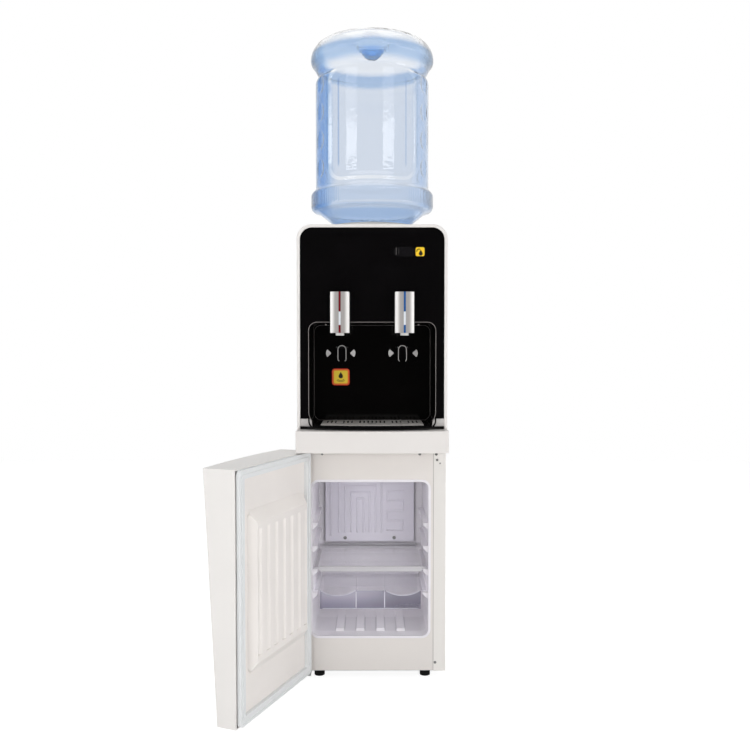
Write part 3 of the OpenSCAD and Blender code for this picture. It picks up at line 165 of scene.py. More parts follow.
# finishes
def moulded(name, base, rough=0.38, grain=0.35, grainDepth=0.02, shift=0.05):  # plastic with a fine grain
    p = Paint(name, Coat_Roughness=0.06)
    cloud = p.noise(90, 2)
    p.set(**{"Base Color": p.mix(cloud.between(0.3, 0.7), tinted(base, 1 - shift), tinted(base, 1 + shift / 2)),
             "Roughness": rough - 0.04 + 0.08 * p.noise(30, 3),
             "Normal": p.bump(p.noise(grain, 2), 0.25, grainDepth)})
    return p.material


def enamel(name, base, rough=0.3, shade=None):  # baked paint on sheet steel, with a faint orange peel
    p = Paint(name, Coat_Weight=0.15, Coat_Roughness=0.12)
    tone = p.mix(p.noise(160, 2).between(0.3, 0.7), tinted(base, 0.997), tinted(base, 1.002))
    if shade:  # painted shade: a dark line in the joint against the next sheet, and soft shade under the moulding and at the foot
        x, z = p.along(0), p.along(2)
        jointShade = x.band((shade["seam"] - 0.8) * mm, (shade["seam"] + 0.8) * mm, 0.3 * mm)
        under = z.between((shade["under"] - shade["fade"]) * mm, shade["under"] * mm)
        low = 1 - z.between(shade["foot"] * mm, shade["footFade"] * mm)
        tone = p.mix(0.10 * under + 0.09 * low, tone, tinted(base, 0.3))
        tone = p.mix(0.5 * jointShade, tone, tinted(base, 0.3))
    p.set(**{"Base Color": tone,
             "Roughness": rough - 0.005 + 0.01 * p.noise(45, 3),
             "Normal": p.bump(p.noise(2.6, 2) + 0.25 * p.noise(0.5, 1), 0.22, 0.02)})
    return p.material


def gloss(name, base, rough=0.045, level=0.5):  # polished moulding: faint haze and a few fine wipe marks
    p = Paint(name, Specular_IOR_Level=level)
    haze = p.noise(60, 3).between(0.35, 0.75)
    wipe = p.noise(9, 4, (1, 1, 0.12)).between(0.62, 0.8)
    p.set(**{"Base Color": p.mix(haze, base, tinted(base, 1.25)),
             "Roughness": rough + 0.03 * haze + 0.03 * wipe,
             "Normal": p.bump(p.noise(35, 1), 0.05, 0.02)})
    return p.material


def metal(name, base, rough, stretch, line, depth, spread=0.14, metallic=1.0):  # brushed along the short stretch
    p = Paint(name, Metallic=metallic)
    lines = p.noise(line, 3, stretch)
    p.set(**{"Base Color": p.mix(lines.between(0.3, 0.7), tinted(base, 0.9), tinted(base, 1.06)),
             "Roughness": rough - spread / 2 + spread * p.noise(14, 3, stretch) + 0.04 * lines,
             "Normal": p.bump(lines, 0.3, depth)})
    return p.material


def rubber(name, base, rough=0.78):  # dull and finely speckled
    p = Paint(name, Specular_IOR_Level=0.35)
    speck = p.noise(0.9, 3)
    p.set(**{"Base Color": p.mix(p.noise(18, 2), tinted(base, 0.8), tinted(base, 1.15)),
             "Roughness": rough - 0.06 + 0.12 * speck,
             "Normal": p.bump(speck, 0.35, 0.05)})
    return p.material


def foam(name, base):  # open cells
    p = Paint(name, Roughness=0.9, Specular_IOR_Level=0.2)
    cells = p.node("ShaderNodeTexVoronoi", {}, {"Vector": p.place(), "Scale": 1 / (1.6 * mm)})
    p.set(**{"Base Color": p.mix(p.noise(25, 3), tinted(base, 0.82), base), "Normal": p.bump(cells, 0.5, 0.3)})
    return p.material


def clear(name, base, rough, ior, alpha=1.0, through=1.0):  # glass or clear plastic with a little haze
    p = Paint(name, Transmission_Weight=through, IOR=ior, Alpha=alpha)
    p.set(**{"Base Color": p.mix(p.noise(40, 2).between(0.3, 0.7), tinted(base, 0.985), base),
             "Roughness": rough + 0.05 * p.noise(20, 3).between(0.45, 0.8)})
    return p.material


def bottleShell(name, tints, panel, bands):  # blue polycarbonate: bluer columns and rings, ribs, moulding waves, painted highlight and painted shade lines along the grip panel's border
    p = Paint(name, Transmission_Weight=1.0, IOR=1.42)
    x, y, z = p.along(0), p.along(1) - panel["axisY"] * mm, p.along(2)

    def rise(key):  # from 0 to 1 between two heights
        return z.between(bands[key][0] * mm, bands[key][1] * mm)

    (flankIn, flankOut), (nubIn, nubOut) = bands["flank"], bands["nub"]
    # painted shade: the columns are painted bluer, the left one more than the right
    flank = (x * x).between((flankIn * mm) ** 2, (flankOut * mm) ** 2) * (1 - 0.62 * x.between(0, 0.09))
    foot = 1 - rise("foot")
    low, high = rise("lowRingFoot") - rise("lowRingTop"), rise("highRingFoot") - rise("highRingTop")
    blue = flank.most(0.6 * foot + 0.28 * low + 0.7 * high) * (1 - rise("domeFade"))
    core = 1 - (x * x + y * y).between((nubIn * mm) ** 2, (nubOut * mm) ** 2)
    nub = core * rise("nubFoot") * (1 - rise("nubTop"))
    qx = abs(x) - (panel["half"] - panel["corner"]) * mm
    middle, halfHigh = (panel["low"] + panel["high"]) / 2, (panel["high"] - panel["low"]) / 2
    qz = abs(z - middle * mm) - (halfHigh - panel["corner"]) * mm
    gone = p.node("ShaderNodeMath", {"operation": "SQRT"}, [qx.most(0) * qx.most(0) + qz.most(0) * qz.most(0)])
    away = gone + qx.most(qz).least(0) - panel["corner"] * mm
    # painted highlight: a white line along the grip panel's border; painted shade: a dark blue line inside it, both
    # fainter on the right
    front = (y < 0) * (1 - 0.45 * x.between(-0.02, 0.06))
    bend = abs(x).between(0.070, 0.082)
    borderHighlight = front * away.band(-0.0062, 0.0008, 0.0008) * (1 - rise("highlightTop") * (1 - bend * rise("highlightBend")))
    groove = front * away.band(-0.0235, -0.0200, 0.0012) * rise("grooveFoot") * (1 - rise("grooveTop"))
    tone = p.mix(0.62 * groove, p.mix(blue, tints["middle"], tints["side"]), tints["groove"])
    tone = p.mix(nub, p.mix(rise("dome"), tone, tints["dome"]), tints["nub"])
    turn = p.node("ShaderNodeMath", {"operation": "ARCTAN2"}, [x, y])
    ribs = p.node("ShaderNodeMath", {"operation": "SINE"}, [turn * 150])
    wave = p.noise(34, 2, (1, 1, 0.5)) + 0.3 * p.noise(9, 2) + 0.35 * p.noise(11, 3) * z.band(1.13, 1.24, 0.02)
    p.set(**{"Base Color": p.mix(borderHighlight, tone, (1, 1, 1, 1)),
             "Roughness": 0.02 + 0.04 * (low + high) + 0.03 * p.noise(20, 3).between(0.5, 0.8),
             "Normal": p.bump(wave + ribs * (low + high) * 0.2, 0.5, 1.1)})
    return p.material


def tapFinish(name, edge, middle, tap):  # silver paint, with painted highlights on the rounded sides and painted shade down the middle
    p = Paint(name, Metallic=0.08, Specular_IOR_Level=0.35)
    away = abs(abs(p.along(0)) - tap["at"] * mm)
    lines = p.noise(0.4, 3, (1, 1, 0.05))
    brushed = p.mix(lines, tinted(middle, 0.95), tinted(middle, 1.06))
    # painted highlight and shade: the darker middle tone near the tap's middle, the pale edge tone towards its sides
    p.set(**{"Base Color": p.mix(away.between(tap["highlightFrom"] * mm, tap["half"] * mm), brushed, edge),
             "Roughness": 0.4 + 0.05 * p.noise(14, 3), "Normal": p.bump(lines, 0.25, 0.003)})
    return p.material


def highlightStrip(name, tone, low, high):  # coloured strip with a painted highlight, a pale band, between two heights in mm
    p = Paint(name, Roughness=0.12, Coat_Weight=0.4, Coat_Roughness=0.05)
    z = p.along(2)
    # painted highlight: the pale band between low and high
    lens = z.between((low - 0.5) * mm, low * mm) * (1 - z.between(high * mm, (high + 0.5) * mm))
    p.set(**{"Base Color": p.mix(lens, p.mix(p.noise(4, 2), tinted(tone, 0.85), tinted(tone, 1.15)),
                                 p.mix(p.noise(6, 2), colour(214, 220, 228), colour(236, 240, 244))),
             "Normal": p.bump(p.noise(5, 1), 0.1, 0.05)})
    return p.material


def shadedTray(name, top, bottom, low, high, alpha, left, right):  # smoky plastic, with painted shade: darker below and to the right
    p = Paint(name, Transmission_Weight=0.1, IOR=1.4, Alpha=alpha)
    tone = p.mix(p.along(2).between(low * mm, high * mm), bottom, top)
    tone = p.mix(0.7 * p.along(0).between(left * mm, right * mm), tone, tinted(bottom, 0.5))
    p.set(**{"Base Color": tone, "Roughness": 0.1 + 0.08 * p.noise(12, 3).between(0.4, 0.8),
             "Normal": p.bump(p.noise(16, 2), 0.12, 0.2)})
    return p.material


def linerFinish(name, base, ribs, plate):  # white liner with painted contact shade at the floor's ribs and beside the plate, and the whole floor painted a little darker as painted shade
    p = Paint(name)
    x, y, z = p.along(0), p.along(1), p.along(2)
    onFloor = 1 - z.between((ribs["floor"] + 5.2) * mm, (ribs["floor"] + 6.5) * mm)
    beside = 1.0
    for i in range(ribs["count"]):
        away = abs(x - (ribs["middle"] + (i - (ribs["count"] - 1) / 2) * ribs["pitch"]) * mm)
        beside = away.least(beside)
    groove = onFloor * y.band(ribs["front"] * mm, ribs["back"] * mm, 2 * mm)
    shade = 0.30 * groove * beside.band(8.2 * mm, 10.6 * mm, 0.8 * mm)
    shade += 0.10 * groove * beside.between(9 * mm, 10 * mm)
    around = abs(x - plate["middle"] * mm).between((plate["half"] + 9) * mm, plate["half"] * mm)
    behind = y.between(plate["wall"] * mm, (plate["wall"] + 4) * mm)
    behind *= z.between((plate["low"] - 6) * mm, plate["low"] * mm)
    cloud = p.mix(p.noise(90, 2).between(0.3, 0.7), tinted(base, 0.97), tinted(base, 1.02))
    p.set(**{"Base Color": p.mix(shade + 0.07 * onFloor + 0.35 * around * behind, cloud, tinted(base, 0.25)),
             "Roughness": 0.29 + 0.08 * p.noise(30, 3), "Normal": p.bump(p.noise(0.6, 2), 0.25, 0.012)})
    return p.material


bottleTints = {"middle": (0.81, 0.85, 0.91, 1), "side": (0.34, 0.52, 0.78, 1), "groove": (0.34, 0.48, 0.74, 1),
               "dome": (0.99, 0.995, 1, 1), "nub": (0.34, 0.58, 0.92, 1)}
bottlePanel = {"axisY": -10, "half": 93, "low": 1049, "high": 1290, "corner": 30}
bottleBands = {"flank": (78, 112), "foot": (985, 1004), "lowRingFoot": (1000, 1006), "lowRingTop": (1028, 1040),
               "highRingFoot": (1296, 1312), "highRingTop": (1332, 1352), "domeFade": (1332, 1350),
               "dome": (1330, 1348), "nub": (19, 36), "nubFoot": (1325, 1332), "nubTop": (1346, 1364),
               "highlightTop": (1225, 1245), "highlightBend": (1255, 1262), "grooveFoot": (1075, 1088),
               "grooveTop": (1258, 1270)}
frontShade = {"seam": 127.5, "under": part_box("waist_moulding")[0][2] / mm, "fade": 34, "foot": 20, "footFade": 240}
floorRibs = {"floor": 92, "count": 4, "middle": -4, "pitch": 43.1, "front": -132, "back": -40}
plateLow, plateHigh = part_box("evaporator_plate")
coldPlate = {"middle": (plateLow[0] + plateHigh[0]) / 2 / mm, "half": (plateHigh[0] - plateLow[0]) / 2 / mm,
             "low": plateLow[2] / mm, "wall": 66}
tapShape = {"at": 64.5, "half": 16, "highlightFrom": 8}
finish = {
    "white_enamel": enamel("whiteEnamel", colour(233, 230, 226)),
    "front_enamel": enamel("frontEnamel", colour(232, 227, 223), 0.34, frontShade),
    "white_plastic": moulded("whitePlastic", colour(236, 233, 230), 0.34, 0.5, 0.012, shift=0.008),
    "waist_white": moulded("waistWhite", colour(229, 225, 222), 0.34, 0.5, 0.012, shift=0.008),
    "zinc_steel": metal("zincSteel", colour(168, 172, 174), 0.42, (1, 1, 1), 9, 0.02, 0.2),
    "foam": foam("cabinetFoam", colour(226, 214, 170)),
    "liner_plastic": linerFinish("linerPlastic", colour(240, 237, 242), floorRibs, coldPlate),
    "evaporator_metal": enamel("evaporatorEnamel", colour(232, 229, 239), 0.36),
    "screw_steel": metal("screwSteel", colour(150, 150, 150), 0.32, (1, 1, 1), 2, 0.01),
    "bracket_steel": metal("bracketSteel", colour(176, 180, 183), 0.34, (0.1, 1, 1), 1, 0.01),
    "fascia_black": gloss("fasciaBlack", colour(8, 7, 8), 0.05, 0.42),
    "niche_black": gloss("nicheBlack", colour(5, 4, 4), 0.09, 0.4),
    "trim_silver": metal("trimSilver", colour(208, 205, 203), 0.3, (0.05, 1, 1), 0.5, 0.006, 0.1, 0.25),
    "window_dark": gloss("windowDark", colour(20, 19, 21), 0.06),
    "key_yellow": moulded("keyYellow", colour(252, 210, 52), 0.3, 0.4, 0.01),
    "tap_silver": tapFinish("tapSilver", colour(248, 246, 244), colour(168, 164, 162), tapShape),
    "strip_red": highlightStrip("stripRed", colour(116, 34, 42), 741, 767),
    "strip_blue": highlightStrip("stripBlue", colour(46, 92, 150), 741, 767),
    "valve_white": moulded("valveWhite", colour(228, 228, 226), 0.28),
    "paddle_black": gloss("paddleBlack", colour(6, 5, 6), 0.12, 0.25),
    "tray_black": gloss("trayBlack", colour(9, 8, 9), 0.1),
    "grille_steel": metal("grilleSteel", colour(212, 208, 204), 0.46, (0.04, 1, 1), 0.4, 0.008, 0.1, 0.25),
    "probe_clear": clear("probeClear", colour(214, 224, 238), 0.1, 1.45),
    "bottle_clear": bottleShell("bottleClear", bottleTints, bottlePanel, bottleBands),
    "cap_plastic": moulded("capPlastic", colour(200, 216, 238), 0.42),
    "tank_steel": metal("tankSteel", colour(190, 192, 194), 0.28, (1, 1, 0.06), 0.6, 0.01),
    "jacket_foam": foam("jacketFoam", colour(216, 214, 208)),
    "heater_mica": metal("heaterMica", colour(128, 116, 94), 0.5, (1, 1, 0.2), 1.5, 0.05, 0.2, 0.4),
    "silicone": rubber("siliconePipe", colour(222, 220, 212), 0.5),
    "rear_grey": enamel("rearEnamel", colour(212, 212, 210), 0.4),
    "switch_black": moulded("switchBlack", colour(20, 20, 22), 0.42),
    "rocker_green": gloss("rockerGreen", colour(40, 120, 62), 0.2),
    "rocker_red": gloss("rockerRed", colour(178, 38, 30), 0.2),
    "board_green": moulded("boardGreen", colour(44, 108, 64), 0.4, 2, 0.05),
    "compressor_black": enamel("compressorBlack", colour(26, 27, 29), 0.3),
    "grommet_rubber": rubber("footRubber", colour(20, 20, 20)),
    "condenser_black": enamel("condenserBlack", colour(24, 25, 27), 0.36),
    "copper": metal("copperShell", colour(186, 116, 78), 0.28, (1, 1, 0.2), 2, 0.02),
    "shelf_glass": clear("shelfGlass", colour(232, 231, 233), 0.03, 1.45, 0.3),
    "shelf_trim": moulded("shelfTrim", colour(208, 206, 210), 0.3, 0.6, 0.01),
    "tray_clear": clear("trayClear", colour(206, 203, 220), 0.08, 1.4, 0.16, through=0.6),
    "tray_front": shadedTray("trayFront", colour(196, 193, 210), colour(150, 146, 168), 148, 180, 0.66, -50, 70),
    "tray_edge": moulded("trayEdgeHighlight", colour(216, 214, 224), 0.2, 0.6, 0.005),
    "panel_white": moulded("panelWhite", colour(242, 237, 233), 0.36, 0.6, 0.012, shift=0.02),
    "gasket_grey": moulded("gasketGrey", colour(231, 233, 234), 0.5, 0.8, 0.008, shift=0.01),
    "bush_nylon": moulded("bushNylon", colour(204, 200, 188), 0.5),
    "bead_grey": moulded("beadGrey", colour(140, 135, 133), 0.3, 0.5, 0.005),
    "bead_dim": moulded("beadDim", colour(78, 74, 73), 0.3, 0.5, 0.005),
    "bead_light": moulded("beadLight", colour(196, 194, 192), 0.32, 0.5, 0.005),
    "print_grey": moulded("printGrey", colour(214, 212, 210), 0.5, 0.4, 0.004),
    "print_dark": moulded("printDark", colour(34, 28, 20), 0.5, 0.4, 0.004),
    "label_red": moulded("labelRed", colour(206, 52, 28), 0.4, 0.4, 0.004),
    "label_orange": moulded("labelOrange", colour(232, 104, 44), 0.4, 0.4, 0.004),
    "label_yellow": moulded("labelYellow", colour(238, 206, 60), 0.4, 0.4, 0.004),
}
print("finishes ready:", len(finish))
slotOf = {entry["node"]: entry["material_slot"] for entry in frame["record"]["subparts"]}


# helpers for pieces
def finished(name, bm, material, body, replaced=(), smooth=35, weighted=False):  # mesh to scene piece
    mesh = bpy.data.meshes.new(name)
    bm.to_mesh(mesh)
    bm.free()
    for one in material if isinstance(material, (list, tuple)) else [material]:
        mesh.materials.append(one)
    mesh.shade_smooth()
    mesh.set_sharp_from_angle(angle=math.radians(smooth))
    piece = bpy.data.objects.new(name, mesh)
    bpy.context.scene.collection.objects.link(piece)
    if weighted:
        piece.modifiers.new("flatFaces", "WEIGHTED_NORMAL").keep_sharp = True
    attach(piece, body)
    if replaced:
        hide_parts(*replaced)
    return piece


def mergedCopy(name):
    bm = bmesh.new()
    bm.from_mesh(nodes[name].data)
    bmesh.ops.remove_doubles(bm, verts=bm.verts, dist=0.004 * mm)
    bmesh.ops.dissolve_limit(bm, angle_limit=math.radians(0.3), verts=bm.verts, edges=bm.edges,
                             delimit={"NORMAL"})
    return bm


def sharpEdges(bm, angle=30):
    limit = math.radians(angle)
    return [e for e in bm.edges if len(e.link_faces) == 2 and e.calc_face_angle(0) > limit]


def dressed(name, edge, segments):  # a CAD node with eased edges, and with its second finish where it has one
    bm = mergedCopy(name)
    bmesh.ops.bevel(bm, geom=sharpEdges(bm), offset=edge * mm, offset_type="OFFSET", segments=segments,
                    profile=0.5, affect="EDGES", clamp_overlap=True, material=-1)
    chosen = [finish[slotOf[name]]]
    if name in second:
        chosen = [finish[key] for key in second[name]["finishes"]]
        for face in bm.faces:
            face.material_index = int(second[name]["where"](face.calc_center_median() / mm))
    return finished(name + "Skin", bm, chosen, nodes[name]["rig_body"], [name],
                    smooth=50, weighted=True)


# CAD nodes with eased edges
def span(name, axis):
    low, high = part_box(name)
    return low[axis] / mm, high[axis] / mm


shelfFront, shelfBack = span("shelf", 1)
trayFront = span("storage_tray", 1)[0]
second = {  # pieces in two finishes, and where the second one lies
    "shelf": {"finishes": ["shelf_glass", "shelf_trim"], "where": lambda c: not shelfFront + 9 < c.y < shelfBack - 9},
    "storage_tray": {"finishes": ["tray_clear", "tray_front"], "where": lambda c: c.y < trayFront + 6},
    "waist_moulding": {"finishes": ["waist_white"], "where": lambda c: False},
    "cabinet_front": {"finishes": ["front_enamel"], "where": lambda c: False},
}
edges = {
    "waist_moulding": 1.6, "upper_housing": 1.4, "top_cover": 1.2, "front_fascia": 0.6,
    "niche_shell": 0.5, "door_shell": 1.6, "door_panel": 4.0, "fridge_liner": 0.8, "evaporator_plate": 0.3,
    "tap_covers": 0.7, "hot_paddle": 0.3, "cold_paddle": 0.3, "drip_tray": 0.5, "drip_grille": 0.15,
    "side_panel_left": 0.35, "side_panel_right": 0.35, "cabinet_front": 0.25, "storage_tray": 0.5, "shelf": 0.4,
    "feet": 0.8, "lock_key": 0.5, "display_window": 0.3, "bottle_collar": 0.6, "door_gasket": 0.8, "drain_cap": 0.4,
    "rear_switches": 0.3, "cold_switch_rocker": 0.3, "hot_switch_rocker": 0.3, "power_inlet": 0.4,
    "compressor": 1.0, "hinge_brackets": 0.3, "bottle_cap": 0.5, "water_probe": 0.3,
}
for name in nodes:
    nodes[name].data.materials.clear()
    nodes[name].data.materials.append(finish[slotOf[name]])
for name, edge in edges.items():
    dressed(name, edge, 3 if edge > 2 else 2)
    print("dressed", name)


# small pieces on the front
def tube(path, radius, sides=8, closed=False, bm=None):  # round bead along points in metres
    bm = bm or bmesh.new()
    rings = []
    count = len(path)
    for i, at in enumerate(path):
        here = Vector(at)
        after = Vector(path[(i + 1) % count]) if closed or i + 1 < count else here
        before = Vector(path[i - 1]) if closed or i else here
        turn = (after - before).normalized().to_track_quat("Z", "Y").to_matrix().to_4x4()
        ring = bmesh.ops.create_circle(bm, segments=sides, radius=radius, matrix=Matrix.Translation(here) @ turn)
        around = {e for v in ring["verts"] for e in v.link_edges}
        if rings:
            bmesh.ops.bridge_loops(bm, edges=list(around | rings[-1]))
        rings.append(around)
    if closed:
        bmesh.ops.bridge_loops(bm, edges=list(rings[0] | rings[-1]))
    else:
        bmesh.ops.holes_fill(bm, edges=list(rings[0] | rings[-1]))
    bmesh.ops.recalc_face_normals(bm, faces=bm.faces)
    return bm


def corner(cx, cz, r, start, end, count=8):  # points of an arc, in mm and degrees
    turns = [math.radians(start + (end - start) * i / count) for i in range(count + 1)]
    return [(cx + r * math.cos(t), cz + r * math.sin(t)) for t in turns]


def roundedBox(x, z, halfWide, halfHigh, r, count=8):
    return [p for cx, cz, a in ((1, 1, 0), (-1, 1, 90), (-1, -1, 180), (1, -1, 270))
            for p in corner(x + cx * (halfWide - r), z + cz * (halfHigh - r), r, a, a + 90, count)]


def upright(points, y):
    return [(x * mm, y * mm, z * mm) for x, z in points]


def tablet(outline, y, thick, edge=0.0):  # flat piece on a wall that faces the front
    bm = bmesh.new()
    face = bm.faces.new([bm.verts.new((x * mm, y * mm, z * mm)) for x, z in outline])
    bm.normal_update()
    if face.normal.y > 0:
        face.normal_flip()
    grown = bmesh.ops.extrude_face_region(bm, geom=[face])
    for v in grown["geom"]:
        if isinstance(v, bmesh.types.BMVert):
            v.co.y -= thick * mm
    bm.faces.remove(face)
    bmesh.ops.recalc_face_normals(bm, faces=bm.faces)
    if edge:
        outer = [e for e in bm.edges if all(abs(v.co.y - (y - thick) * mm) < 1e-7 for v in e.verts)]
        bmesh.ops.bevel(bm, geom=outer, offset=edge * mm, segments=2, profile=0.5, affect="EDGES", material=-1)
    return bm


# painted highlight: a grey bead along the niche's rim stands in for the light caught on its rounded edge
rim = {"halfWide": 129.2, "footRound": 30, "footTurn": 38, "footZ": 565, "high": 747.2, "round": 17,
       "front": -197.6, "bead": 0.62}
foot = rim["halfWide"] - rim["footRound"]
line = corner(-foot, rim["footZ"], rim["footRound"], 180 + rim["footTurn"], 180)
line += corner(-rim["halfWide"] + rim["round"], rim["high"] - rim["round"], rim["round"], 180, 90)
line += corner(rim["halfWide"] - rim["round"], rim["high"] - rim["round"], rim["round"], 90, 0)
line += corner(foot, rim["footZ"], rim["footRound"], 0, -rim["footTurn"])
finished("nicheRimHighlight", tube(upright(line, rim["front"]), rim["bead"] * mm), finish["bead_grey"],
         "cabinet")
stud = {"x": 94, "front": -196.6, "z": 741.8, "round": 1.6}
for side in (-1, 1):
    bm = bmesh.new()
    place = Matrix.Translation((side * stud["x"] * mm, stud["front"] * mm, stud["z"] * mm))
    bmesh.ops.create_uvsphere(bm, u_segments=16, v_segments=8, radius=stud["round"] * mm,
                              matrix=place @ Matrix.Rotation(math.pi / 2, 4, "X"))
    finished("rimStud" + ("Left" if side < 0 else "Right"), bm, finish["bead_grey"], "cabinet")

# painted highlight: a dim bead round the niche's back wall stands in for the light on the fillet between its side and
# back walls
nicheEdge = {"halfWide": 124, "high": 742.6, "low": 539.5, "round": 14, "wall": -97.6, "bead": 0.5}
loop = roundedBox(0, (nicheEdge["high"] + nicheEdge["low"]) / 2, nicheEdge["halfWide"],
                  (nicheEdge["high"] - nicheEdge["low"]) / 2, nicheEdge["round"])
finished("nicheBackHighlight", tube(upright(loop, nicheEdge["wall"]), nicheEdge["bead"] * mm, closed=True),
         finish["bead_dim"], "cabinet")

trimLow, trimHigh = span("corner_trims", 2)
trimFront, trimBack = span("corner_trims", 1)
trimOut = span("corner_trims", 0)[1]
for side in (-1, 1):
    inner = [(side * (x + 0.8), z) for x, z in corner(foot, rim["footZ"], rim["footRound"], -rim["footTurn"], 0)]
    outline = [(side * trimOut, trimLow), (side * (foot + 22.5), trimLow)]
    outline += [p for p in inner if trimLow + 4 < p[1] < trimHigh]
    outline += [(side * (rim["halfWide"] + 0.8), trimHigh), (side * trimOut, trimHigh)]
    finished("cornerTrim" + ("Left" if side < 0 else "Right"), tablet(outline, trimBack, trimBack - trimFront, 0.8),
             finish["trim_silver"], "cabinet", ["corner_trims"] if side < 0 else ())

# painted highlight: a light bead round each paddle stands in for the light on the glossy black paddle's rim
paddleRim = {"x": 64.5, "half": 8.6, "top": 699.4, "foot": 669.5, "front": -109.3, "bead": 0.85}
for side, body in ((-1, "hot_paddle"), (1, "cold_paddle")):
    cx, r, z = side * paddleRim["x"], paddleRim["half"], paddleRim["foot"]
    line = [(cx - r + 2.6, z - 3.2), (cx - r + 0.7, z - 1.8), (cx - r, z)]
    line += corner(cx, paddleRim["top"] - r, r, 180, 0, 14)
    line += [(cx + r, z), (cx + r - 0.7, z - 1.8), (cx + r - 2.6, z - 3.2)]
    finished(body.split("_")[0] + "PaddleRimHighlight", tube(upright(line, paddleRim["front"]), paddleRim["bead"] * mm),
             finish["bead_light"], body)

arrow = {"middles": (-67.6, 66.3), "gap": 20.6, "long": 11, "spread": 43, "z": 683, "wall": -97.15}
for side, middle in zip(("Hot", "Cold"), arrow["middles"]):
    for way in (-1, 1):
        tip, turn = middle + way * arrow["gap"], arrow["spread"]
        start, end = (turn, -turn) if way > 0 else (180 - turn, 180 + turn)
        fan = [(tip, arrow["z"] + 1.0), *corner(tip - way * 1.0, arrow["z"], arrow["long"] + 1, start, end),
               (tip, arrow["z"] - 1.0)]
        finished("arrow" + side + ("Left" if way < 0 else "Right"), tablet(fan, arrow["wall"], 0.3),
                 finish["print_grey"], "cabinet")

label = {"x": -67.5, "z": 631.8, "wide": 38, "high": 36, "round": 6, "wall": -97.1, "drop": 6.5, "dropUp": 3,
         "ripples": (11, 13.6)}
for name, inset, lift, material in (("labelEdge", 0, 0.0, "label_red"), ("labelBand", 1.2, 0.08, "label_orange"),
                                    ("labelField", 4.2, 0.16, "label_yellow")):
    outline = roundedBox(label["x"], label["z"], label["wide"] / 2 - inset, label["high"] / 2 - inset,
                         label["round"] - inset * 0.8, 6)
    finished(name, tablet(outline, label["wall"] - lift, 0.12), finish[material], "cabinet")


def droplet(cx, cz, size):  # outline of a drop, point up
    return [(cx, cz + size * 1.25)] + corner(cx, cz - size * 0.2, size * 0.72, 35, -215, 16)


dropX, dropZ = label["x"], label["z"] + label["dropUp"]
finished("labelDrop", tablet(droplet(dropX, dropZ, label["drop"]), label["wall"] - 0.25, 0.12),
         finish["print_dark"], "cabinet")
for i, reach in enumerate(label["ripples"]):  # two ripples under the drop
    outline = corner(dropX, dropZ, reach, 310, 230, 10) + corner(dropX, dropZ, reach - 1.0, 230, 310, 10)
    finished("labelWave%d" % i, tablet(outline, label["wall"] - 0.25, 0.1), finish["print_dark"],
             "cabinet")

keyMark = {"drop": (98.2, 886.6, 5.6), "wave": (94.6, 890.2), "waveOut": 5.4, "waveIn": 3.6, "front": -198.55}
finished("keyDrop", tablet(droplet(*keyMark["drop"]), keyMark["front"], 0.15), finish["print_dark"],
         "lock_key")
outline = corner(*keyMark["wave"], keyMark["waveOut"], 195, 60) + corner(*keyMark["wave"], keyMark["waveIn"], 60, 195)
finished("keyWave", tablet(outline, keyMark["front"], 0.15), finish["print_dark"], "lock_key")

windowMark = {"places": (48.3, 53.6), "wide": 0.45, "high": 898, "low": 883, "step": 1.2, "front": -196.65}
for i, x in enumerate(windowMark["places"]):
    right, high, low = x + windowMark["wide"], windowMark["high"], windowMark["low"]
    step = windowMark["step"] * i
    outline = [(x, high - step), (right, high - step), (right, low + step), (x, low + step)]
    finished("windowMark%d" % i, tablet(outline, windowMark["front"], 0.06), finish["bead_dim" if i else "bead_grey"],
             "cabinet")
print("front details ready")

# painted highlights on the storage tray: pale beads along its edges stand in for the light on the clear plastic's
# edges
tray = {"top": 183.2, "foot": 145.6, "left": -111, "right": 103, "walls": (-34, 26), "scoop": 70, "scoopLift": 60,
        "bead": 0.7, "wallBead": 1.1}
face = (trayFront - 0.1) * mm
bm = bmesh.new()
for left, right in ((tray["left"], tray["walls"][0]), (tray["walls"][1], tray["right"])):
    middle, half = (left + right) / 2, math.sqrt(tray["scoop"] ** 2 - tray["scoopLift"] ** 2)
    turn = math.degrees(math.asin(half / tray["scoop"]))
    line = [(left + 3, tray["top"]),
            *corner(middle, tray["top"] + tray["scoopLift"], tray["scoop"], 270 - turn, 270 + turn, 14),
            (right - 1, tray["top"])]
    tube([(x * mm, face, z * mm) for x, z in line], tray["bead"] * mm, 6, bm=bm)
line = [(x * mm, face, tray["foot"] * mm) for x in (tray["left"] + 6, tray["right"] - 6)]
tube(line, tray["bead"] * mm, 6, bm=bm)
for x in tray["walls"]:
    line = [(x * mm, face + 0.6 * mm, z * mm) for z in (tray["foot"] + 2, 158, 170, tray["top"] - 2)]
    tube(line + [(x * mm, face + 8 * mm, tray["top"] * mm)], tray["wallBead"] * mm, 6, bm=bm)
finished("trayEdgeHighlights", bm, finish["tray_edge"], "storage_tray")

# bottle
bottle = {"axisY": -10, "steps": 180, "ringStep": 3.2, "wall": 2.0, "body": 125, "panelHalf": 93, "panelLow": 1062,
          "panelHigh": 1300, "panelCorner": 30, "panelEase": 6, "panelDeep": 6.5, "dentTurn": 64, "dentLow": 1083,
          "dentPitch": 60, "dentDeep": 3.4, "dentWide": 15, "dentHigh": 21, "pressLow": 1048, "pressHigh": 1312,
          "shoulder": 1291, "shoulderSlope": 0.55}


def resampled(points, step):  # the same line in steps of about one length
    lengths = [math.dist(a, b) for a, b in zip(points, points[1:])]
    result = [points[0]]
    for (x0, z0), (x1, z1), length in zip(points, points[1:], lengths):
        count = max(1, round(length / step))
        result += [(x0 + (x1 - x0) * i / count, z0 + (z1 - z0) * i / count) for i in range(1, count + 1)]
    return result


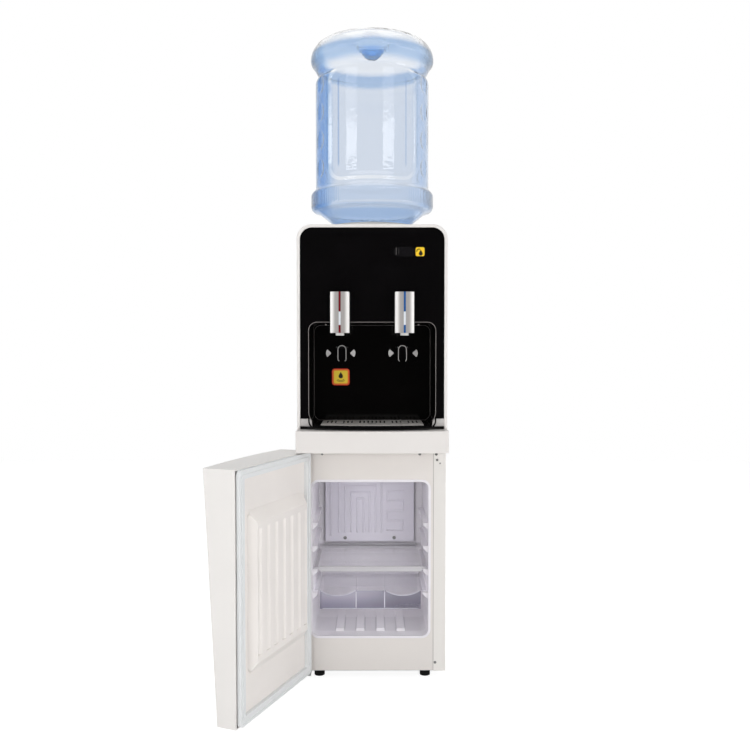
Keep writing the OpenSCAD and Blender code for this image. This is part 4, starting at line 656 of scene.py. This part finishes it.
def spun(points, steps, axis=(0, 0)):  # points as radius and height in mm
    bm = bmesh.new()
    line = [bm.verts.new((axis[0] * mm + r * mm, axis[1] * mm, z * mm)) for r, z in points]
    edges = [bm.edges.new(pair) for pair in zip(line, line[1:])]
    bmesh.ops.spin(bm, geom=line + edges, cent=(axis[0] * mm, axis[1] * mm, 0), axis=(0, 0, 1),
                   angle=math.tau, steps=steps, use_merge=True)
    bmesh.ops.remove_doubles(bm, verts=bm.verts, dist=0.02 * mm)
    bmesh.ops.recalc_face_normals(bm, faces=bm.faces)
    return bm


def eased(value, low, high):
    t = min(1.0, max(0.0, (value - low) / (high - low)))
    return t * t * (3 - 2 * t)


def dent(x, z, turn):  # how far a point of the bottle's body is pressed in, in mm
    b = bottle
    high = (b["panelHigh"] + b["panelLow"]) / 2
    qx = abs(x) - b["panelHalf"] + b["panelCorner"]
    qz = abs(z - high) - (b["panelHigh"] - b["panelLow"]) / 2 + b["panelCorner"]
    away = math.hypot(max(qx, 0), max(qz, 0)) + min(max(qx, qz), 0) - b["panelCorner"]
    pressed = b["panelDeep"] * eased(-away, -b["panelEase"], b["panelEase"])
    row = min(3, max(0, round((z - b["dentLow"]) / b["dentPitch"])))
    along = math.radians(turn - b["dentTurn"]) * b["body"] / b["dentWide"]
    up = (z - b["dentLow"] - row * b["dentPitch"]) / b["dentHigh"]
    return max(pressed, b["dentDeep"] * eased(1 - math.hypot(along, up), 0, 0.5))


profile = [(27.5, 878.1), (27.5, 916), (30, 919.5), (115, 990.5), (118, 992)]
profile += corner(123.5, 1006, 12, -60, 0, 8) + corner(123.5, 1028, 12, 0, 50, 7) + [(126, 1043), (125, 1047)]
profile += [(125, 1275), (123.8, 1279.5), (118.4, 1284.8), (117, 1288), (117.8, 1291.5), (121, 1297.5)]
profile += corner(119.5, 1326, 16, -50, 0, 8) + corner(94.5, 1326, 41, 8, 90, 18)
profile += [(60, 1367), (37.5, 1367), (34, 1364.5), (31.5, 1359), (16, 1340), (13, 1337.5), (0, 1337.5)]
bm = spun(resampled(profile, bottle["ringStep"]), bottle["steps"], (0, bottle["axisY"]))
for v in bm.verts:
    x, y, z = v.co.x / mm, v.co.y / mm - bottle["axisY"], v.co.z / mm
    if bottle["pressLow"] < z < bottle["pressHigh"]:
        turn, radius = abs(math.degrees(math.atan2(x, -y))), math.hypot(x, y)
        most = bottle["body"] + max(0.0, z - bottle["shoulder"]) * bottle["shoulderSlope"]
        most -= dent(x, z, min(turn, 180 - turn)) * eased(z, bottle["pressLow"], bottle["pressLow"] + 4)
        keep = min(1.0, most / radius)
        v.co.x, v.co.y = x * keep * mm, (y * keep + bottle["axisY"]) * mm
shell = finished("bottleShell", bm, finish["bottle_clear"], nodes["bottle"]["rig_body"], ["bottle"],
                 60)
wall = shell.modifiers.new("wall", "SOLIDIFY")
wall.thickness, wall.offset = bottle["wall"] * mm, -1
print("bottle ready")

# studio
studio = {"floorSize": 12.0, "wallBack": 3.2, "wallHigh": 7.0, "floorFront": -2.6, "floorGlow": 0.9,
          "floorShade": 0.3, "sky": 0.18, "skyMirrored": 0.03}


def stageMaterial(name, base, glow, shade, rays):  # seen as glow plus a share of the light that falls on it
    p = Paint(name, Roughness=0.9, Specular_IOR_Level=0.1)
    p.set(**{"Base Color": base})
    seen = 0.0
    for ray in rays:
        seen = p.node("ShaderNodeLightPath", output="Is %s Ray" % ray).most(seen)
    lit = p.node("ShaderNodeBsdfDiffuse", {}, {"Color": (shade, shade, shade, 1)})
    light = p.node("ShaderNodeEmission", {}, {"Color": (1, 1, 1, 1), "Strength": glow})
    shown = p.node("ShaderNodeAddShader", {}, [lit, light])
    both = p.node("ShaderNodeMixShader", {}, [seen, Term(p, p.shader.outputs[0]), shown])
    p.tree.links.new(both.socket, p.tree.nodes["Material Output"].inputs["Surface"])
    return p.material


def stagePiece(name, wide, deep, place, material):
    bm = bmesh.new()
    bmesh.ops.create_grid(bm, x_segments=1, y_segments=1, size=0.5,
                          matrix=place @ Matrix.Diagonal((wide, deep, 1, 1)))
    mesh = bpy.data.meshes.new(name)
    bm.to_mesh(mesh)
    bm.free()
    mesh.materials.append(material)
    piece = bpy.data.objects.new(name, mesh)
    bpy.context.scene.collection.objects.link(piece)


wide, back, front = studio["floorSize"], studio["wallBack"], studio["floorFront"]
stagePiece("floor", wide, back - front, Matrix.Translation((0, (back + front) / 2, 0)),
           stageMaterial("floorPaint", colour(238, 238, 238), studio["floorGlow"], studio["floorShade"],
                         ("Camera", "Transmission")))
stagePiece("backdrop", wide, studio["wallHigh"],
           Matrix.Translation((0, back, studio["wallHigh"] / 2)) @ Matrix.Rotation(math.pi / 2, 4, "X"),
           stageMaterial("backdropPaint", colour(238, 238, 238), 1.0, 0.0, ("Camera", "Transmission", "Glossy")))

lamps = {
    "windowLeft": {"at": (-1.74, -1.81, 1.68), "aim": (0, 0, 1.15), "size": (1.05, 0.22), "power": 4.4},
    "windowRight": {"at": (1.40, -2.08, 1.68), "aim": (0, 0, 1.15), "size": (1.05, 0.22), "power": 4.4},
    "hazeLeft": {"at": (-1.74, -1.81, 2.02), "aim": (0, 0, 1.15), "size": (1.05, 0.42), "power": 2.4},
    "hazeRight": {"at": (1.40, -2.08, 2.02), "aim": (0, 0, 1.15), "size": (1.05, 0.42), "power": 2.4},
    "lowLeft": {"at": (-0.86, -2.35, 0.6), "aim": (0, 0, 0.45), "size": (0.85, 0.8), "power": 10.4,
                "mirrored": False},
    "lowRight": {"at": (0.86, -2.35, 0.6), "aim": (0, 0, 0.45), "size": (0.85, 0.8), "power": 10.4,
                 "mirrored": False},
    "rightFill": {"at": (2.3, -1.2, 0.7), "aim": (0, -0.2, 0.35), "size": (1.0, 0.8), "power": 10.5},
    "leftFill": {"at": (-2.3, -1.2, 0.8), "aim": (0, -0.2, 0.5), "size": (1.0, 0.8), "power": 8.5},
    "fridgeTop": {"at": (-0.004, -0.10, 0.412), "aim": (-0.004, 0.02, 0.1), "size": (0.19, 0.06), "power": 0.035},
    "fridgeLow": {"at": (-0.004, -0.135, 0.218), "aim": (-0.004, 0.03, 0.08), "size": (0.19, 0.02), "power": 0.08},
    "topBox": {"at": (0, -0.6, 3.4), "aim": (0, 0, 0.6), "size": (2.4, 2.0), "power": 27},
    "sideLeft": {"at": (-2.6, 0.5, 1.3), "aim": (0, 0, 0.8), "size": (1.4, 2.0), "power": 10},
    "sideRight": {"at": (2.6, 0.5, 1.3), "aim": (0, 0, 0.8), "size": (1.4, 2.0), "power": 10},
    "rearBox": {"at": (1.2, 2.4, 0.45), "aim": (0, 0.1, 0.6), "size": (1.2, 0.8), "power": 13, "mirrored": False},
}
for name, lamp in lamps.items():
    data = bpy.data.lights.new(name, "AREA")
    data.shape, data.size, data.size_y, data.energy = "RECTANGLE", *lamp["size"], lamp["power"]
    light = bpy.data.objects.new(name, data)
    light.location = lamp["at"]
    light.rotation_euler = (Vector(lamp["aim"]) - Vector(lamp["at"])).to_track_quat("-Z", "Y").to_euler()
    light.visible_camera = light.visible_transmission = False
    light.visible_glossy = lamp.get("mirrored", True)
    bpy.context.scene.collection.objects.link(light)

world = bpy.data.worlds.new("studioWorld")
world.use_nodes = True
bpy.context.scene.world = world
sky = world.node_tree.nodes["Background"]
sky.inputs["Color"].default_value = (1, 1, 1, 1)
tree = world.node_tree
rays = tree.nodes.new("ShaderNodeLightPath")
mirrored, shown = tree.nodes.new("ShaderNodeMapRange"), tree.nodes.new("ShaderNodeMath")
mirrored.inputs["To Min"].default_value = studio["sky"]
mirrored.inputs["To Max"].default_value = studio["skyMirrored"]
shown.operation = "MAXIMUM"
level = tree.nodes.new("ShaderNodeMath")
level.operation = "MAXIMUM"
for source, target in ((rays.outputs["Is Glossy Ray"], mirrored.inputs["Value"]),
                       (rays.outputs["Is Camera Ray"], shown.inputs[0]),
                       (rays.outputs["Is Transmission Ray"], shown.inputs[1]),
                       (mirrored.outputs["Result"], level.inputs[0]),
                       (shown.outputs["Value"], level.inputs[1]),
                       (level.outputs["Value"], sky.inputs["Strength"])):
    tree.links.new(source, target)

photoView = {"at": (0, -1.965, 0.7078), "pitch": -2.2, "yaw": -0.184, "lens": 41.76}
cameraData = bpy.data.cameras.new("photoCamera")
cameraData.lens, cameraData.sensor_width = photoView["lens"], 36
cameraData.clip_end = 50
camera = bpy.data.objects.new("photoCamera", cameraData)
camera.location = photoView["at"]
camera.rotation_euler = (math.radians(90 + photoView["pitch"]), 0, math.radians(photoView["yaw"]))
bpy.context.scene.collection.objects.link(camera)
bpy.context.scene.camera = camera
bpy.context.scene.view_settings.view_transform = "Standard"
print("studio ready")
